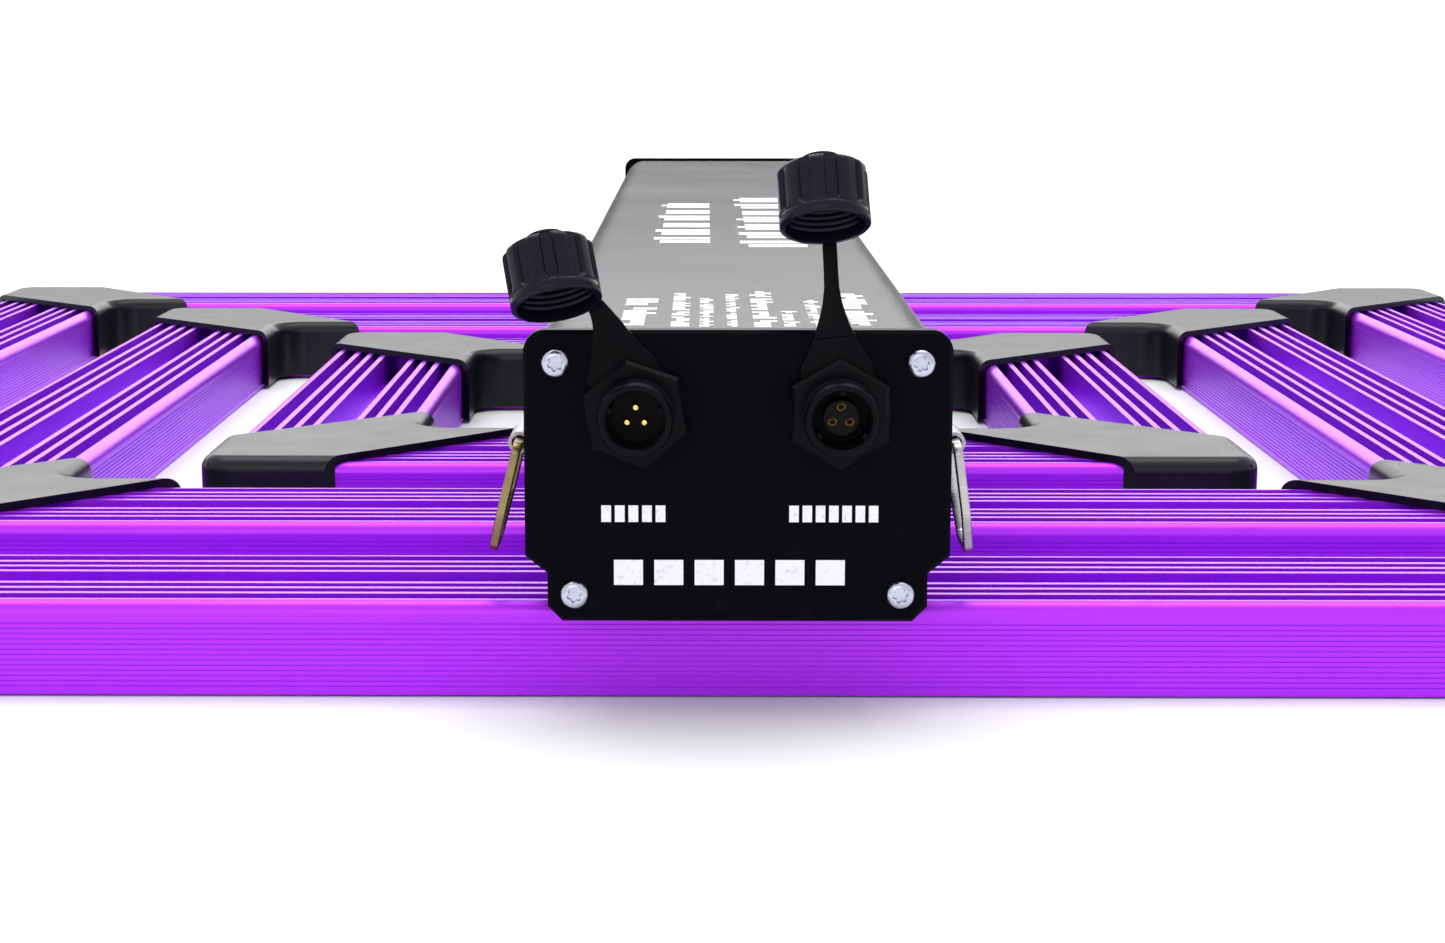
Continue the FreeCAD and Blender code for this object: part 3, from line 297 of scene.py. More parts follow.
gold = plated("gold", (1.0, 0.68, 0.22), (0.86, 0.52, 0.14), 0.14, 900)
# Painted shade: a darkened copy of the gold, for the sleeves that sit deep in the right socket's holes.
dark_gold = plated("dark_gold", (0.30, 0.18, 0.05), (0.16, 0.09, 0.02), 0.35, 900)


def powder_coat(name, shade, pale, rough, peel, depth, **even):
    """A sprayed and baked coat: peel texture, with a few faint paler scuffs."""
    def build(graph):
        where = place_of(graph)
        texture = noise(graph, where, peel, 2)
        scuffs = contrast(graph, noise(graph, place_of(graph, (1, 0.08, 1)), 160, 3), 0.62, 0.85)
        return {"Base Color": graph.mix(scuffs, rgb(*shade), rgb(*pale)),
                "Roughness": between(graph, noise(graph, where, 14, 3), rough - 0.05, rough + 0.06),
                "Normal": bump(graph, texture, depth)}
    return finish(name, build, **even)


driver_coat = powder_coat("driver_coat", (0.012, 0.014, 0.020), (0.020, 0.022, 0.030), 0.22, 1500, 0.00003,
                          Specular_IOR_Level=0.07)
plate_coat = powder_coat("plate_coat", (0.0010, 0.0010, 0.0026), (0.003, 0.003, 0.006), 0.30, 2200, 0.00001,
                         Specular_IOR_Level=0.03)
print(len(bpy.data.materials), "materials so far")

# %% [markdown]
# ## Dressing the engineering parts
# Parts whose modelled shape is already right only need a finish: bars, corner covers, the driver
# box, plates, gasket and everything inside. A finish is put in the part's own material slot, so
# its mesh stays untouched.

# %% Dress the frame
RINGS = ("outer", "middle", "inner")


def dress(name, material):
    for material_slot in nodes[name].material_slots:
        material_slot.material = material


for ring in RINGS:
    for side in ("front", "back"):
        dress(f"{ring}_{side}_bar", anodised_along_x)
    for side in ("left", "right"):
        dress(f"{ring}_{side}_bar", anodised_along_y)
    for corner in ("front_left", "front_right", "back_left", "back_right"):
        dress(f"{ring}_{corner}_cover", cover_plastic)
# The right socket's sleeves take the darkened gold, which paints the shade down their holes.
for name, material in {
        "corner_keys": key_metal, "corner_key_screws": bright_zinc, "driver_fixing_screws": bright_zinc,
        "driver_housing": driver_coat, "driver_front_plate": plate_coat, "driver_rear_plate": plate_coat,
        "end_plate_gaskets": gasket_rubber, "driver_board": board_green, "driver_transformer": winding_tape,
        "driver_capacitors": can_sleeve, "left_socket_insert": insert_plastic,
        "right_socket_insert": insert_plastic, "right_socket_sleeves": dark_gold}.items():
    dress(name, material)
print("dressed the metal, plastic and rubber parts")

# %% [markdown]
# ## The lamp side: boards and lenses
# Under the bars, white solder mask covers the LED boards so that they throw back stray light.
# Faint copper tracks show through it as slightly darker bands. The lens strips are clear
# polycarbonate: a transmitting surface, with a little haze from handling.

# %% Boards and lenses
def board_finish(graph):
    where = place_of(graph)
    tracks = contrast(graph, graph.add("ShaderNodeTexVoronoi", {"feature": "DISTANCE_TO_EDGE"},
                                       {"Vector": where, "Scale": 90.0}), 0.02, 0.06)
    tone = noise(graph, where, 35, 2)
    body_tone = graph.mix(tone, rgb(0.86, 0.86, 0.84), rgb(0.80, 0.81, 0.80))
    return {"Base Color": graph.mix(tracks, rgb(0.62, 0.64, 0.62), body_tone),
            "Roughness": between(graph, tone, 0.32, 0.45),
            "Normal": bump(graph, tracks, 0.00003)}


def lens_finish(graph):
    haze = noise(graph, place_of(graph), 70, 4)
    return {"Base Color": graph.mix(haze, rgb(0.97, 0.98, 1.0), rgb(0.90, 0.92, 0.95)),
            "Roughness": between(graph, haze, 0.03, 0.14),
            "Normal": bump(graph, haze, 0.00001)}


solder_mask = finish("solder_mask", board_finish)
clear_lens = finish("clear_lens", lens_finish, Transmission_Weight=0.92, IOR=1.49)
for ring in RINGS:
    dress(f"{ring}_led_boards", solder_mask)
    dress(f"{ring}_lenses", clear_lens)
print("boards and lenses dressed")

# %% [markdown]
# ## Shaping tools
# Most small parts are turned or swept: an outline goes round an axis, or along a path. Real
# moulded and pressed edges are never sharp, so `soften` rounds each corner of an outline by its
# own radius before it is turned.

# %% Outlines and turned shapes
def soften(corners, closed=False, steps=4):
    """Corners given as (x, y, radius) become an outline with round corners."""
    outline = []
    last = len(corners) - 1
    for number, (x, y, radius) in enumerate(corners):
        here = Vector((x, y))
        if radius == 0 or (not closed and number in (0, last)):
            outline.append(here)
            continue
        back = (Vector(corners[number - 1][:2]) - here).normalized()
        on = (Vector(corners[(number + 1) % len(corners)][:2]) - here).normalized()
        half = back.angle(on) / 2
        centre = here + (back + on).normalized() * radius / math.sin(half)
        first = here + back * radius / math.tan(half) - centre
        final = here + on * radius / math.tan(half) - centre
        for step in range(steps + 1):
            part = step / steps
            outline.append(centre + (first * (1 - part) + final * part).normalized() * radius)
    return outline


def turned(outline, steps=72, shape=None):
    """Points and faces of an outline (radius, height) turned about Z; ends on the axis become poles."""
    points = []
    faces = []
    rings = []
    for radius, height in outline:
        if radius < 1e-9:
            rings.append([len(points)] * steps)
            points.append(Vector((0, 0, height)))
            continue
        rings.append(list(range(len(points), len(points) + steps)))
        for step in range(steps):
            angle = 2 * math.pi * step / steps
            wide, high = shape(angle, radius, height) if shape else (radius, height)
            points.append(Vector((wide * math.cos(angle), wide * math.sin(angle), high)))
    on_axis = outline[0][0] < 1e-9 and outline[-1][0] < 1e-9
    for low, high in zip(rings, rings[1:] + ([] if on_axis else rings[:1])):
        for step in range(steps):
            after = (step + 1) % steps
            face = list(dict.fromkeys((low[step], low[after], high[after], high[step])))
            if len(face) > 2:
                faces.append(face)
    return points, faces


def slab(outline, low, high):
    """An outline in the XY plane given a thickness: two caps and a wall."""
    count = len(outline)
    points = [Vector((x, y, low)) for x, y in outline] + [Vector((x, y, high)) for x, y in outline]
    faces = [list(range(count))[::-1], list(range(count, 2 * count))]
    faces += [[number, (number + 1) % count, count + (number + 1) % count, count + number]
              for number in range(count)]
    return points, faces


def moved(shape, matrix):
    return [matrix @ point for point in shape[0]], shape[1]


def joined(*shapes):
    points = []
    faces = []
    for more_points, more_faces in shapes:
        faces += [[index + len(points) for index in face] for face in more_faces]
        points += more_points
    return points, faces


print("a softened square has", len(soften([(0, 0, .1), (1, 0, .1), (1, 1, .1), (0, 1, .1)], True)), "points")

# %% [markdown]
# ## Making a piece
# A piece is a mesh with a finish that rides on one body of the engineering model. `aimed` gives
# the matrix that stands a shape made along Z on a spot, with its length along any direction.

# %% Pieces
def aimed(spot, along, up=Vector((0, 0, 1))):
    along = Vector(along).normalized()
    across = Vector(up).cross(along).normalized()
    lifted = along.cross(across)
    return Matrix.Translation(Vector(spot)) @ Matrix((across, lifted, along)).transposed().to_4x4()


def mesh_object(name, shape, material, crease=38):
    mesh = bpy.data.meshes.new(name)
    mesh.from_pydata([tuple(point) for point in shape[0]], [], shape[1])
    mesh.materials.append(material)
    mesh.shade_smooth()
    mesh.set_sharp_from_angle(angle=math.radians(crease))
    obj = bpy.data.objects.new(name, mesh)
    bpy.context.scene.collection.objects.link(obj)
    return obj


def settle(obj, body, slot, *stands_for):
    """The piece rides on a body and hides the nodes that it stands for; its slot is not used."""
    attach(obj, body)
    if stands_for:
        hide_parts(*stands_for)
    print(obj.name, "rides on", body, "with", len(obj.data.polygons), "faces")
    return obj


FRONT = Vector((0, -1, 0))
UP = Vector((0, 0, 1))
plate_low, plate_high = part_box("driver_front_plate")
plate_face = plate_low.y
insert_low, insert_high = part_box("left_socket_insert")
socket_level = (insert_low.z + insert_high.z) / 2
socket_x = -(insert_low.x + insert_high.x) / 2
sockets = {"left": Vector((-socket_x, plate_face, socket_level)),
           "right": Vector((socket_x, plate_face, socket_level))}
print("sockets at", sockets["left"][:], sockets["right"][:])

# %% [markdown]
# ## Copies on spots
# Screws, rivets and contact pins are one small shape that repeats. A geometry tree takes that
# shape, stands it on every point of a mesh, aims it along the point's own `facing` and turns it
# about that direction by a random amount, as screws end up after tightening. The result is made
# real, because an exported model has no instances.

# %% Geometry tree for copies
def tree_with(name, sizes):
    """A geometry tree with named inputs; sizes holds (name, socket type, value)."""
    tree = bpy.data.node_groups.new(name, "GeometryNodeTree")
    tree.interface.new_socket("Geometry", in_out="INPUT", socket_type="NodeSocketGeometry")
    tree.interface.new_socket("Geometry", in_out="OUTPUT", socket_type="NodeSocketGeometry")
    for label, kind, value in sizes:
        socket = tree.interface.new_socket(label, in_out="INPUT", socket_type="NodeSocket" + kind)
        if value is not None:
            socket.default_value = value
    graph = Graph(tree)
    entry = tree.nodes.new("NodeGroupInput")
    wires = {output.name: Wire(graph, output) for output in entry.outputs if output.name}
    return graph, wires


def end_tree(graph, geometry, material=None):
    if material:
        geometry = graph.add("GeometryNodeSetMaterial", inputs={"Geometry": geometry, "Material": material})
    graph.add("NodeGroupOutput", inputs={"Geometry": geometry})
    return graph.tree


def grown(obj, tree, **inputs):
    """Runs the tree on the object once, and keeps the result as the object's plain mesh."""
    modifier = obj.modifiers.new(tree.name, "NODES")
    modifier.node_group = tree
    for item in tree.interface.items_tree:
        key = item.name.replace(" ", "_")
        if item.in_out == "INPUT" and key in inputs:
            modifier[item.identifier] = inputs[key]
    bpy.context.view_layer.update()
    evaluated = obj.evaluated_get(bpy.context.evaluated_depsgraph_get())
    mesh = bpy.data.meshes.new_from_object(evaluated)
    obj.modifiers.remove(modifier)
    obj.data = mesh
    return obj


graph, wires = tree_with("copies_on_spots", [("Pattern", "Object", None), ("Size", "Float", 1.0),
                                             ("Most turn", "Float", 0.0), ("Seed", "Int", 7)])
facing = graph.add("GeometryNodeInputNamedAttribute", {"data_type": "FLOAT_VECTOR"}, {"Name": "facing"})
aim = graph.add("FunctionNodeAlignRotationToVector", {"axis": "Z"}, {"Vector": facing})
turn = graph.add("FunctionNodeRandomValue",
                 inputs={2: 0.0, 3: wires["Most turn"], "Seed": wires["Seed"]}, output=1)
spin = graph.add("FunctionNodeAxisAngleToRotation", inputs={"Axis": (0, 0, 1), "Angle": turn})
aimed_turn = graph.add("FunctionNodeRotateRotation", {"rotation_space": "LOCAL"},
                       {"Rotation": aim, "Rotate By": spin})
pattern = graph.add("GeometryNodeObjectInfo", inputs={"Object": wires["Pattern"]}, output=4)
copies = graph.add("GeometryNodeInstanceOnPoints", inputs={"Points": wires["Geometry"], "Instance": pattern,
                                                           "Rotation": aimed_turn, "Scale": wires["Size"]})
real = graph.add("GeometryNodeRealizeInstances", inputs={"Geometry": copies})
copies_tree = end_tree(graph, real, bright_zinc)


def copies_of(name, shape, spots, material, body, slot, *stands_for, most_turn=0.0):
    """Stands the shape on every (spot, facing)."""
    copies_tree.nodes["Set Material"].inputs["Material"].default_value = material
    pattern_piece = mesh_object(name + "_pattern", shape, material)
    holder = mesh_object(name, ([spot for spot, way in spots], []), material)
    ways = holder.data.attributes.new("facing", "FLOAT_VECTOR", "POINT")
    for element, (spot, way) in zip(ways.data, spots):
        element.vector = way
    grown(holder, copies_tree, Pattern=pattern_piece, Most_turn=most_turn)
    used = holder.data.attributes.get("facing")
    if used:
        holder.data.attributes.remove(used)
    bpy.data.objects.remove(pattern_piece)
    return settle(holder, body, slot, *stands_for)


print("copies tree has", len(copies_tree.nodes), "nodes")

# %% [markdown]
# ## Dust caps
# Each socket has a screw cap, moulded in the same hard black plastic. Ten shallow flutes give
# the fingers a grip; they start above a plain rim band and fade out over the rounded shoulder. The
# flutes are made by letting the turned outline's radius depend on the angle. Inside are the rings
# of the cap's thread.

# %% Dust caps
CAP_RADIUS, CAP_BORE, CAP_HALF, CAP_END = 9.0 * MM, 7.8 * MM, 6.1 * MM, 2.5 * MM
GRIP_FROM, SHOULDER = 8.2 * MM, 1.3 * MM
FLUTES, FLUTE_DEPTH, BAND_TOP = 10, 0.75 * MM, -3.8 * MM


def fluted(angle, radius, height):
    """The cap's skin: wide ribs with round-bottomed grooves between them."""
    if radius < GRIP_FROM or height < BAND_TOP + 0.1 * MM:
        return radius, height
    end = 1 - min(1.0, (height - BAND_TOP) / (1.5 * MM))
    part = min(1.0, max(0.0, (math.cos(FLUTES * angle) + 0.12 - 1.1 * end * end) / 0.32))
    groove = part * part * (3 - 2 * part) * min(1.0, (radius - GRIP_FROM) / (0.6 * MM))
    return radius - FLUTE_DEPTH * groove, height


def cap_outline():
    """Half of the cap's section: its threaded inside, rim, skin with a round shoulder, and nub."""
    ceiling = CAP_HALF - CAP_END
    inside = [(0, ceiling), (CAP_BORE - 0.3 * MM, ceiling)]
    for ring in range(6):
        level = ceiling - (0.5 + 1.25 * ring) * MM
        inside += [(CAP_BORE, level), (CAP_BORE + 0.35 * MM, level - 0.45 * MM),
                   (CAP_BORE, level - 0.9 * MM)]
    rim = [(CAP_BORE + 0.1 * MM, -CAP_HALF), (CAP_RADIUS - 0.3 * MM, -CAP_HALF),
           (CAP_RADIUS, -CAP_HALF + 0.3 * MM)]
    skin = [(CAP_RADIUS, BAND_TOP - 0.25 * MM), (CAP_RADIUS - 0.15 * MM, BAND_TOP)]
    skin += [(CAP_RADIUS, BAND_TOP + part * MM) for part in (0.25, 0.5, 0.8, 1.1, 1.5, 3, 5, 7)]
    for step in range(6):
        angle = math.pi / 2 * step / 5
        skin.append((CAP_RADIUS - SHOULDER * (1 - math.cos(angle)),
                     CAP_HALF - SHOULDER * (1 - math.sin(angle))))
    nub = [(3.6, 0), (3.35, 0.25), (3.35, 1.5), (3.7, 1.6), (4.0, 1.85), (3.9, 2.35), (3.4, 2.55),
           (1.4, 2.57), (0, 2.35)]
    nub = [(radius * MM, CAP_HALF + height * MM) for radius, height in nub]
    return inside + rim + skin + nub


caps = {}
FLUTE_TURNS = {"left": math.radians(-84), "right": math.radians(-80)}
for side in ("left", "right"):
    turn_joint = joints[f"{side}_cap_turn"]
    caps[side] = aimed(turn_joint["pos_m"], turn_joint["axis"], Vector((0, 1, 0)))
    stand = caps[side] @ Matrix.Rotation(FLUTE_TURNS[side], 4, "Z")
    cap = mesh_object(f"{side}_cap", moved(turned(cap_outline(), 240, fluted), stand), cap_plastic, 50)
    settle(cap, f"{side}_cap", "cap_plastic", f"{side}_dust_cap")

# %% [markdown]
# ## Tethers
# A tether is one rubber moulding: a washer held under the socket's flange, a strap that flares
# into it, and a ring that snaps over the nub on the cap. The strap is swept as a rounded flat
# section along a curve between its two ends.

# %% Swept straps
def curve_through(spots, count):
    """Evenly many points on a smooth curve through the spots."""
    points = []
    for number in range(len(spots) - 1):
        before = spots[max(number - 1, 0)]
        start, end = spots[number], spots[number + 1]
        after = spots[min(number + 2, len(spots) - 1)]
        for step in range(count):
            t = step / count
            bend = 2 * before - 5 * start + 4 * end - after
            twist = 3 * start - before - 3 * end + after
            points.append(0.5 * (2 * start + (end - before) * t + bend * t * t + twist * t ** 3))
    return points + [spots[-1]]


def flat_section(wide, thick):
    """A rounded rectangle, across and through."""
    curl = min(0.32 * MM, thick * 0.4)
    return soften([(-wide / 2, -thick / 2, curl), (wide / 2, -thick / 2, curl),
                   (wide / 2, thick / 2, curl), (-wide / 2, thick / 2, curl)], True, 3)


def swept(path, sections, across, closed=False):
    """A closed skin over sections that stand on a path; across(part) says which way the width runs."""
    points = []
    count = len(sections[0])
    for number, spot in enumerate(path):
        ahead = path[(number + 1) % len(path)] if closed else path[min(number + 1, len(path) - 1)]
        behind = path[number - 1] if closed or number else path[0]
        along = (ahead - behind).normalized()
        wide = across(number / (len(path) - 1))
        wide = (wide - along * wide.dot(along)).normalized()
        through = along.cross(wide)
        points += [spot + wide * x + through * y for x, y in sections[number]]
    faces = []
    stops = len(path) if closed else len(path) - 1
    for number in range(stops):
        here, there = number * count, (number + 1) % len(path) * count
        faces += [[here + step, here + (step + 1) % count, there + (step + 1) % count, there + step]
                  for step in range(count)]
    if not closed:
        faces += [list(range(count))[::-1], list(range(len(points) - count, len(points)))]
    return points, faces


def washer(inner, outer, low, high):
    edge = 0.25 * MM
    return turned([(inner, low), (outer - edge, low), (outer, low + edge), (outer, high - edge),
                   (outer - edge, high), (inner, high)], 64)


STRAP_LEANS = {"left": math.radians(18.6), "right": math.radians(4.6)}
STRAP_THICK = 1.0 * MM
STRAP_Y = plate_face - 0.9 * MM
plate_top = plate_high.z
for side in ("left", "right"):
    lean = STRAP_LEANS[side]
    rise = Vector((-math.sin(lean), 0, math.cos(lean)))
    seat = Vector((sockets[side].x, STRAP_Y, sockets[side].z))
    cap = caps[side]
    off = 6.8 if side == "left" else 1.0
    beside = [(off, 9.9, -4.2), (off * 0.7, 10.6, 0.2), (off * 0.4, 10.3, 4.1), (off * 0.15, 8.2, 6.6),
              (0, 4.6, 6.8)]
    clear_of_plate = (plate_top - seat.z) / math.cos(lean) + 1.5 * MM
    spots = [seat + rise * reach for reach in (7 * MM, 12 * MM, 15 * MM, clear_of_plate)]
    spots += [cap @ (Vector(spot) * MM) for spot in beside]
    path = curve_through(spots, 7)
    reaches = [(spot - seat).dot(rise) for spot in path]
    widths = [2.9 * MM + 11.9 * MM * max(0.0, (26.4 * MM - reach) / (16.9 * MM)) ** 1.8 for reach in reaches]
    sections = [flat_section(min(wide, 14.6 * MM), STRAP_THICK) for wide in widths]
    start_wide = Vector((math.cos(lean), 0, math.sin(lean)))
    end_wide = cap.to_3x3() @ Vector((1, 0, 0))
    strap = swept(path, sections, lambda part: start_wide.lerp(end_wide, min(1.0, 1.6 * part)))
    ring = moved(washer(3.5 * MM, 5.2 * MM, CAP_HALF + 0.17 * MM, CAP_HALF + 1.17 * MM), cap)
    base = moved(washer(7.6 * MM, 10.3 * MM, 0, 1.0 * MM), aimed(sockets[side], FRONT))
    tether = mesh_object(f"{side}_tether", joined(strap, ring, base), tether_rubber, 40)
    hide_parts(f"{side}_tether_ring", f"{side}_tether_strap")
    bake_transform(tether)
    print(tether.name, "has", len(path), "stations, widest", round(max(widths) / MM, 1), "mm")

# %% [markdown]
# ## Signal sockets
# A round panel socket is a threaded barrel with a hexagonal flange. The hexagon comes from the
# same turning tool: its radius depends on the angle. The thread is cut as rings, since its pitch
# of one millimetre is too fine for the eye to follow its helix.

# %% Socket shells
def hexagonal(flat):
    def shape(angle, radius, height):
        if radius < 8.5 * MM:
            return radius, height
        return (flat - 9.75 * MM + radius) / math.cos((angle % (math.pi / 3)) - math.pi / 6), height
    return shape


def threaded(radius, root, low, high, pitch):
    """The outside of a thread from low to high."""
    outline = []
    for ring in range(int((high - low) / pitch)):
        level = low + ring * pitch
        outline += [(root, level + 0.05 * pitch), (root, level + 0.2 * pitch),
                    (radius, level + 0.5 * pitch), (radius, level + 0.68 * pitch)]
    return outline


def barrel(bore, radius, root, seat, reach, pitch, floor):
    thread = threaded(radius, root, seat, reach - 0.8 * MM, pitch)
    return turned([(bore, floor), (root, floor)] + thread
                  + [(root, reach - 0.6 * MM), (root + 0.1 * MM, reach - 0.25 * MM),
                     (root - 0.15 * MM, reach), (bore + 0.35 * MM, reach), (bore, reach - 0.4 * MM)], 72)


def key_ribs(bore, low, high, angles):
    """Small ribs inside the bore, so that a plug only enters one way round."""
    shapes = []
    for angle in angles:
        rib = slab([(bore - 0.7 * MM, -0.6 * MM), (bore + 0.2 * MM, -0.6 * MM), (bore + 0.2 * MM, 0.6 * MM),
                    (bore - 0.7 * MM, 0.6 * MM)], low, high)
        shapes.append(moved(rib, Matrix.Rotation(math.radians(angle), 4, "Z")))
    return joined(*shapes)


HEX_TURNS = {"left": 11.0, "right": 0.0}
flange_outline = [(7.2 * MM, 1.0 * MM), (9.45 * MM, 1.0 * MM), (9.75 * MM, 1.3 * MM), (9.75 * MM, 3.3 * MM),
                  (9.1 * MM, 4.0 * MM), (7.2 * MM, 4.0 * MM)]
for side in ("left", "right"):
    flange = moved(turned(flange_outline, 72, hexagonal(9.75 * MM)),
                   Matrix.Rotation(math.radians(30 + HEX_TURNS[side]), 4, "Z"))
    shell = joined(flange, barrel(5.75 * MM, 7.5 * MM, 7.05 * MM, 4 * MM, 12 * MM, 1 * MM, -8 * MM),
                   key_ribs(5.75 * MM, 4 * MM, 11 * MM, (20, 160) if side == "left" else (90, 215, 325)))
    socket = mesh_object(f"{side}_socket", moved(shell, aimed(sockets[side], FRONT)), socket_plastic, 35)
    settle(socket, "light", "socket_plastic", f"{side}_socket_shell")

# %% [markdown]
# ## Contacts, screws and rivets
# These all come from the copies tree: three domed pins in the left socket and three in the rear
# inlet, eight plate screws with a six-lobed recess, and the rivets of the hanging brackets.

# %% Contacts and screws
def pin(radius, long):
    return turned([(0, 0), (radius, 0), (radius, long - radius * 0.7), (radius * 0.75, long - radius * 0.25),
                   (0, long)], 20)


def lobed(angle, radius, height):
    """The recess of the screw head, with six lobes."""
    if radius < 1.45 * MM and height > 0:
        return radius * (1 + 0.16 * math.cos(6 * angle)), height
    return radius, height


screw_outline = [(0, -4), (1.4, -4), (1.4, 0), (2.85, 0), (2.9, 0.5), (2.7, 1.0), (2.2, 1.4), (1.6, 1.58),
                 (1.4, 1.55), (1.2, 0.7), (0, 0.6)]
screw_shape = turned([(radius * MM, height * MM) for radius, height in screw_outline], 36, lobed)
screw_places = [(x * MM, z * MM) for x, z in ((36.5, 72.9), (-36.5, 72.9), (33.0, 25.7), (-33.0, 25.7))]
screw_spots = [(Vector((x, facing * abs(plate_face), z)), Vector((0, facing, 0)))
               for facing in (-1, 1) for x, z in screw_places]
copies_of("plate_screws", screw_shape, screw_spots, bright_zinc, "light", "screw_zinc", "end_plate_screws",
          most_turn=math.pi)


def on_circle(middle, radius, facing):
    """Three spots on a circle around the middle, one of them at the top."""
    return [(middle + radius * Vector((math.cos(angle), 0, math.sin(angle))), facing)
            for angle in (math.radians(90 + 120 * number) for number in range(3))]


left_spots = on_circle(sockets["left"] + FRONT * 2 * MM, 2 * MM, FRONT)
copies_of("left_pins", pin(0.66 * MM, 5.5 * MM), left_spots, gold, "light", "contact_gold",
          "left_socket_pins")

# %% [markdown]
# ## Power inlet
# At the far end, a larger round inlet feeds the driver: a square flange with round corners, a
# threaded barrel, and three pins on a dark disc.

# %% Power inlet
inlet_low, inlet_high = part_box("power_inlet_shell")
REAR = Vector((0, 1, 0))
inlet = aimed((0, -plate_face, (inlet_low.z + inlet_high.z) / 2), REAR)
inlet_reach = inlet_high.y + plate_face
edge = 13.5 * MM
flange_corners = [(x * edge, z * edge, 3 * MM) for x, z in ((-1, -1), (1, -1), (1, 1), (-1, 1))]
flange = slab(soften(flange_corners, True), 0, 3 * MM)
shell = joined(flange, barrel(8 * MM, 10 * MM, 9.5 * MM, 3 * MM, inlet_reach, 1.25 * MM, -8 * MM),
               key_ribs(8 * MM, 6 * MM, 17 * MM, (30, 150, 270)))
settle(mesh_object("power_inlet", moved(shell, inlet), socket_plastic, 35), "light", "socket_plastic",
       "power_inlet_shell")
disc = turned([(0, 2 * MM), (8.1 * MM, 2 * MM), (8.1 * MM, 4 * MM), (0, 4 * MM)], 48)
settle(mesh_object("inlet_disc", moved(disc, inlet), insert_plastic, 35), "light", "insert_plastic")
inlet_spots = on_circle(inlet.translation + REAR * 4 * MM, 4 * MM, REAR)
copies_of("inlet_pins", pin(1.25 * MM, inlet_reach - 10 * MM), inlet_spots, gold, "light", "contact_gold",
          "power_inlet_contacts")

# %% [markdown]
# ## Hanging rings
# Each hanging ring is a loop of flat steel strip, bent with round corners, that swings in the
# knuckle of a thin bracket. A closed sweep makes it. One of the rings kept the yellow tint of its
# passivation. Two rivets hold each bracket.

# %% Rings and rivets
HALF_WIDE, DROP, STRIP = 12.9 * MM, 22.4 * MM, (2.15 * MM, 1.9 * MM)
ring_corners = [(-HALF_WIDE, 0, 1.6 * MM), (-HALF_WIDE, -14 * MM, 3 * MM), (-7.4 * MM, -DROP, 3 * MM),
                (7.4 * MM, -DROP, 3 * MM), (HALF_WIDE, -14 * MM, 3 * MM), (HALF_WIDE, 0, 1.6 * MM)]
ring_outline = soften(ring_corners, True, 6)
ring_path = [Vector((0, y, z)) for y, z in ring_outline]
ring_sections = [flat_section(STRIP[1], STRIP[0])] * len(ring_path)
loop = swept(ring_path, ring_sections, lambda part: Vector((1, 0, 0)), closed=True)
rivet = turned([(0, 0), (1.5 * MM, 0), (1.4 * MM, 0.3 * MM), (1.0 * MM, 0.55 * MM), (0, 0.65 * MM)], 20)
rivet_spots = []
for end in ("front", "back"):
    for side, outward in (("left", -1), ("right", 1)):
        pivot = joints[f"{end}_{side}_ring_swing"]
        lean = {"front_left": 14.0, "front_right": -8.0}.get(f"{end}_{side}", 0.0)
        stand = Matrix.Translation(Vector(pivot["pos_m"])) @ Matrix.Rotation(math.radians(lean), 4, "Y")
        tone = ring_passivated if (end, side) == ("front", "left") else ring_steel
        settle(mesh_object(f"{end}_{side}_loop", moved(loop, stand), tone, 40), f"{end}_{side}_ring",
               "hanger_metal", f"{end}_{side}_hanging_ring")
        above = Vector(pivot["pos_m"]) + Vector((-outward * 2.5 * MM, 0, 7 * MM))
        rivet_spots += [(above + Vector((0, along * 3.6 * MM, 0)), Vector((outward, 0, 0)))
                        for along in (-1, 1)]
copies_of("bracket_rivets", rivet, rivet_spots, bracket_steel, "light", "bracket_metal")
dress("hanging_ring_brackets", bracket_steel)

# %% [markdown]
# ## LED chips
# Two rows of chips sit on each board: white ones with a yellow phosphor, and every fifth one deep
# red. Each board is a long thin strip, so its row spots are worked out from the ring's size. The
# same spots carry two patterns: the pale ceramic body, and the small lens on it.

# %% Chip spots
ceramic = moulded("chip_ceramic", (0.72, 0.72, 0.70), 0.3, 900, 0.000005)
phosphor = moulded("phosphor", (0.85, 0.62, 0.08), 0.2, 1500, 0.000005, Coat_Weight=0.6)
red_lens = moulded("red_lens", (0.45, 0.012, 0.010), 0.15, 1500, 0.000005, Coat_Weight=0.8)
PITCH_ALONG, ROW_OFF, DOWN = 12 * MM, 6.5 * MM, Vector((0, 0, -1))
chip_spots = []
for ring in RINGS:
    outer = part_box(f"{ring}_front_bar")
    half = outer[1].x
    bar_middle = half - 25.5 * MM
    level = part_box(f"{ring}_led_boards")[0].z
    run = half - 62 * MM
    count = int(2 * run / PITCH_ALONG) + 1
    for number in range(count):
        along = (number - (count - 1) / 2) * PITCH_ALONG
        for row in (-ROW_OFF, ROW_OFF):
            for way in (-1, 1):
                chip_spots.append(Vector((along, way * (bar_middle + row), level)))
                chip_spots.append(Vector((way * (bar_middle + row), along, level)))
is_red = [number % 20 in (8, 9, 10, 11) for number in range(len(chip_spots))]
print(len(chip_spots), "chips,", sum(is_red), "of them red")

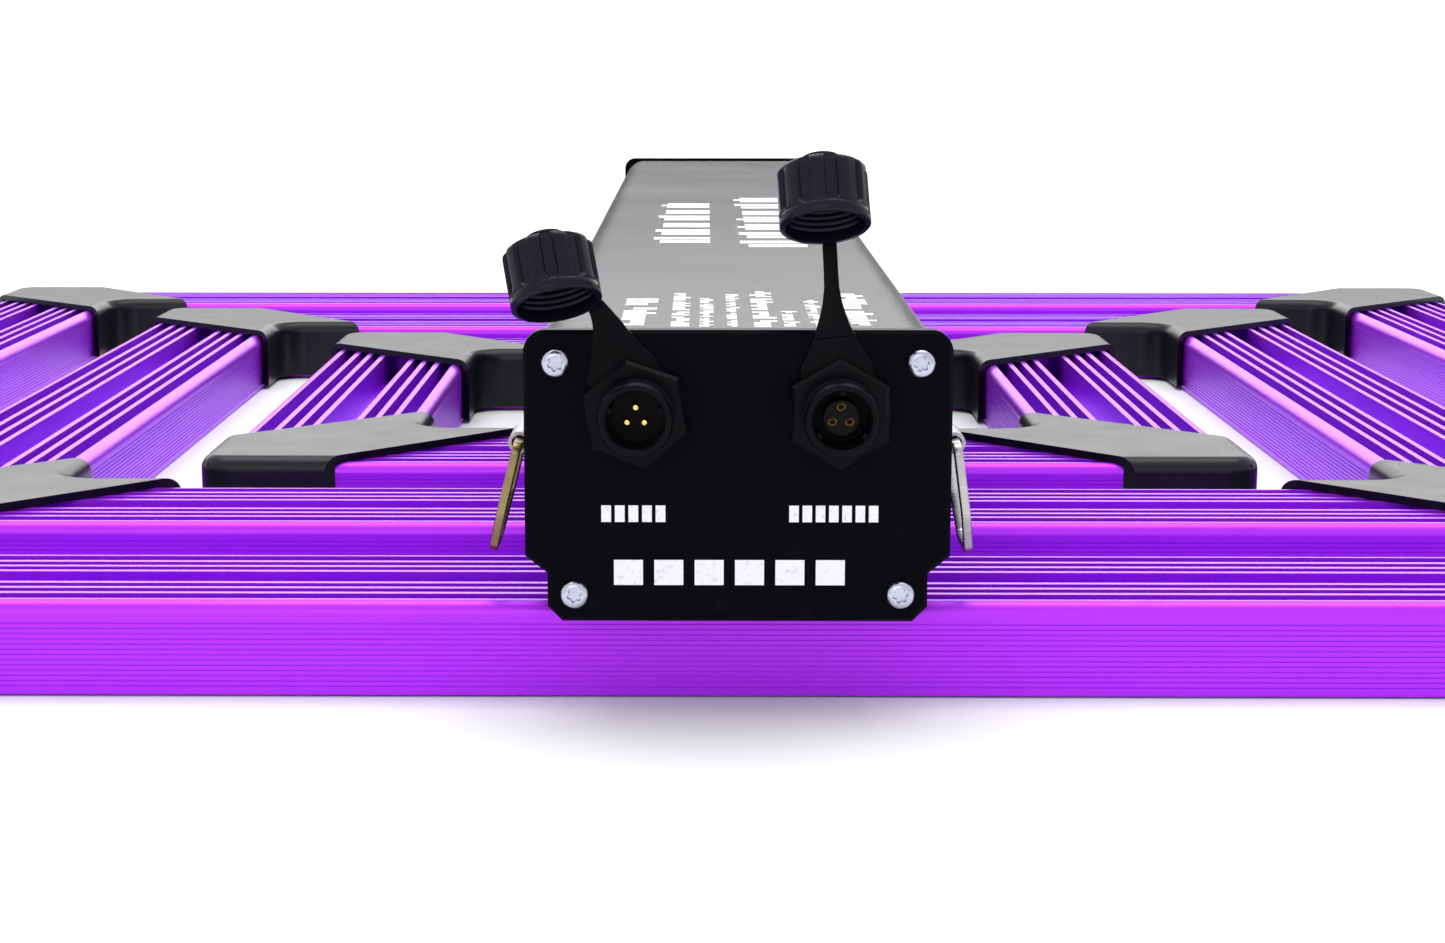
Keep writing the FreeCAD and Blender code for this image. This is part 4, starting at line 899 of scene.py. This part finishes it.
# %% Chips
body_outline = [(-1.5 * MM, -1.5 * MM), (1.5 * MM, -1.5 * MM), (1.5 * MM, 1.5 * MM), (-1.5 * MM, 1.5 * MM)]
copies_of("chip_bodies", slab(body_outline, 0, 0.4 * MM), [(spot, DOWN) for spot in chip_spots], ceramic,
          "light", "led_board")
dome_outline = [(0, 0.3), (1.25, 0.3), (1.1, 0.7), (0.6, 0.95), (0, 1.05)]
dome = turned([(radius * MM, height * MM) for radius, height in dome_outline], 10)
copies_of("white_chips", dome, [(spot, DOWN) for spot, red in zip(chip_spots, is_red) if not red], phosphor,
          "light", "led_board")
copies_of("red_chips", dome, [(spot, DOWN) for spot, red in zip(chip_spots, is_red) if red], red_lens,
          "light", "led_board")

# %% [markdown]
# ## Printing on the driver
# The top of the driver carries two large blocks of print and a panel of small lines, in white
# ink. They are made here as plain dashes that stand for words, so nothing can be read. Each dash
# is a film of ink three hundredths of a millimetre thick.

# %% Print
def ink_finish(graph):
    where = place_of(graph)
    worn = contrast(graph, noise(graph, where, 900, 3), 0.28, 0.45)
    return {"Base Color": graph.mix(worn, rgb(0.62, 0.62, 0.66), rgb(0.80, 0.80, 0.86)),
            "Roughness": between(graph, noise(graph, where, 200, 2), 0.35, 0.5)}


white_ink = finish("white_ink", ink_finish)
INK = 0.03 * MM
print_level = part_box("driver_housing")[1].z


def dash(low_x, low_y, high_x, high_y):
    return slab([(low_x, low_y), (high_x, low_y), (high_x, high_y), (low_x, high_y)], 0, INK)


def line_of_dashes(low_x, high_x, low_y, high_y, dice):
    """A line of small marks along Y, grouped like words."""
    shapes = []
    place = low_y
    while place < high_y:
        for mark in range(dice.randint(3, 8)):
            wide = (high_x - low_x) * dice.uniform(0.34, 0.62)
            if place + wide > high_y:
                break
            low = low_x + (high_x - low_x) * dice.choice((0.0, 0.0, 0.28))
            high = high_x - (high_x - low_x) * dice.choice((0.0, 0.3, 0.3))
            shapes.append(dash(low, place, high, place + wide))
            place += wide + (high_x - low_x) * 0.2
        place += (high_x - low_x) * 0.55
    return shapes


def block_of_bars(low_x, high_x, low_y, high_y, count, dice):
    """Large print: a row of blocks along Y, some of them split into bars."""
    shapes = []
    step = (high_y - low_y) / count
    for number in range(count):
        low, high = low_y + number * step, low_y + (number + 0.80) * step
        parts = dice.choice((1, 2, 3, 2))
        for part in range(parts):
            wide = (high - low) / parts
            shapes.append(dash(low_x + (high_x - low_x) * (0.0 if part % 2 else 0.12), low + part * wide,
                               high_x, low + (part + 0.72) * wide))
    return shapes


dice = random.Random(5)
LINES = [(-24.2, -17.1, -316, -262), (-13.7, -9.9, -318, -250), (-7.8, -4.8, -318, -262),
         (-2.0, 1.0, -318, -254), (3.5, 8.5, -319, -246), (9.7, 13.1, -318, -288), (15.3, 18.6, -318, -266),
         (23.6, 29.3, -316, -252)]
ink = []
for low_x, high_x, low_y, high_y in LINES:
    ink += line_of_dashes(low_x * MM, high_x * MM, low_y * MM, high_y * MM, dice)
ink += block_of_bars(-21.5 * MM, -5.2 * MM, -114 * MM, 55 * MM, 6, dice)
ink += block_of_bars(3.3 * MM, 22 * MM, -128 * MM, 84 * MM, 7, dice)
on_top = moved(joined(*ink), Matrix.Translation((0, 0, print_level)))
settle(mesh_object("driver_print", on_top, white_ink, 30), "light", "driver_paint")

# %% [markdown]
# The front plate says which socket is which. Here each has a short row of marks under it, with a
# longer plain bar below them.

# %% Front marks
def row_of_marks(low_x, high_x, low_z, high_z, count):
    """Marks side by side in the plate's plane, as X and Z."""
    step = (high_x - low_x) / count
    return [slab([(low_x + number * step, low_z), (low_x + (number + 0.72) * step, low_z),
                  (low_x + (number + 0.72) * step, high_z), (low_x + number * step, high_z)], 0, INK)
            for number in range(count)]


marks = row_of_marks(-27.5 * MM, -13.8 * MM, 40.6 * MM, 44.0 * MM, 5)
marks += row_of_marks(10.4 * MM, 29.1 * MM, 40.6 * MM, 44.0 * MM, 7)
marks += row_of_marks(-25 * MM, 24 * MM, 27.6 * MM, 32.8 * MM, 6)
upright = Matrix.Translation((0, plate_face, 0)) @ Matrix.Rotation(math.radians(90), 4, "X")
settle(mesh_object("plate_print", moved(joined(*marks), upright), white_ink, 30), "light", "plate_paint")

# %% [markdown]
# ## Floor and studio light
# The floor is a plain white sheet and so is everything around. Polished anodising is a mirror with
# a colour, so what it shows is this room: bright above and in front, and a little darker to the
# sides so that the fins still read. Soft lamps hang overhead, in front and behind. The lamp behind
# lays a sheen on every flat top, and a dark flag below it, which only reflections can see, keeps
# the far end of the driver dark.

# %% Floor and light
def floor_finish(graph):
    speckle = noise(graph, place_of(graph), 30, 2)
    return {"Base Color": graph.mix(speckle, rgb(0.92, 0.92, 0.93), rgb(0.88, 0.88, 0.89)),
            "Roughness": between(graph, speckle, 0.75, 0.85)}


sheet = [(-6, -4), (6, -4), (6, 2.7), (-6, 2.7)]
floor = mesh_object("floor", slab(sheet, -0.02, -0.0005), finish("floor_white", floor_finish))

bpy.context.scene.view_settings.view_transform = "Standard"
world = bpy.data.worlds.new("studio")
bpy.context.scene.world = world
world.use_nodes = True
world.node_tree.nodes["Background"].inputs["Color"].default_value = rgb(1.0, 1.0, 1.0)
world.node_tree.nodes["Background"].inputs["Strength"].default_value = 1.0


def soft_lamp(name, spot, target, size, power):
    data = bpy.data.lights.new(name, "AREA")
    data.shape = "RECTANGLE"
    data.size, data.size_y = size
    data.energy = power
    lamp = bpy.data.objects.new(name, data)
    bpy.context.scene.collection.objects.link(lamp)
    lamp.location = spot
    lamp.rotation_euler = (Vector(target) - Vector(spot)).to_track_quat("-Z", "Y").to_euler()


soft_lamp("overhead", (0, 0.2, 2.0), (0, 0, 0), (2.2, 1.4), 26)
soft_lamp("front", (-0.5, -2.2, 0.9), (0, -0.3, 0.05), (1.6, 0.9), 5)
soft_lamp("behind", (0, 3.0, 0.95), (0, 0, 0.1), (5.0, 1.1), 34)
flag = mesh_object("flag", slab([(-3, 2.85), (3, 2.85), (3, 2.86), (-3, 2.86)], 0.0, 0.50),
                   moulded("flag_cloth", (0.02, 0.02, 0.02), 0.8, 60, 0.0001))
flag.visible_camera = False
flag.visible_diffuse = False
flag.visible_shadow = False
print("lit")
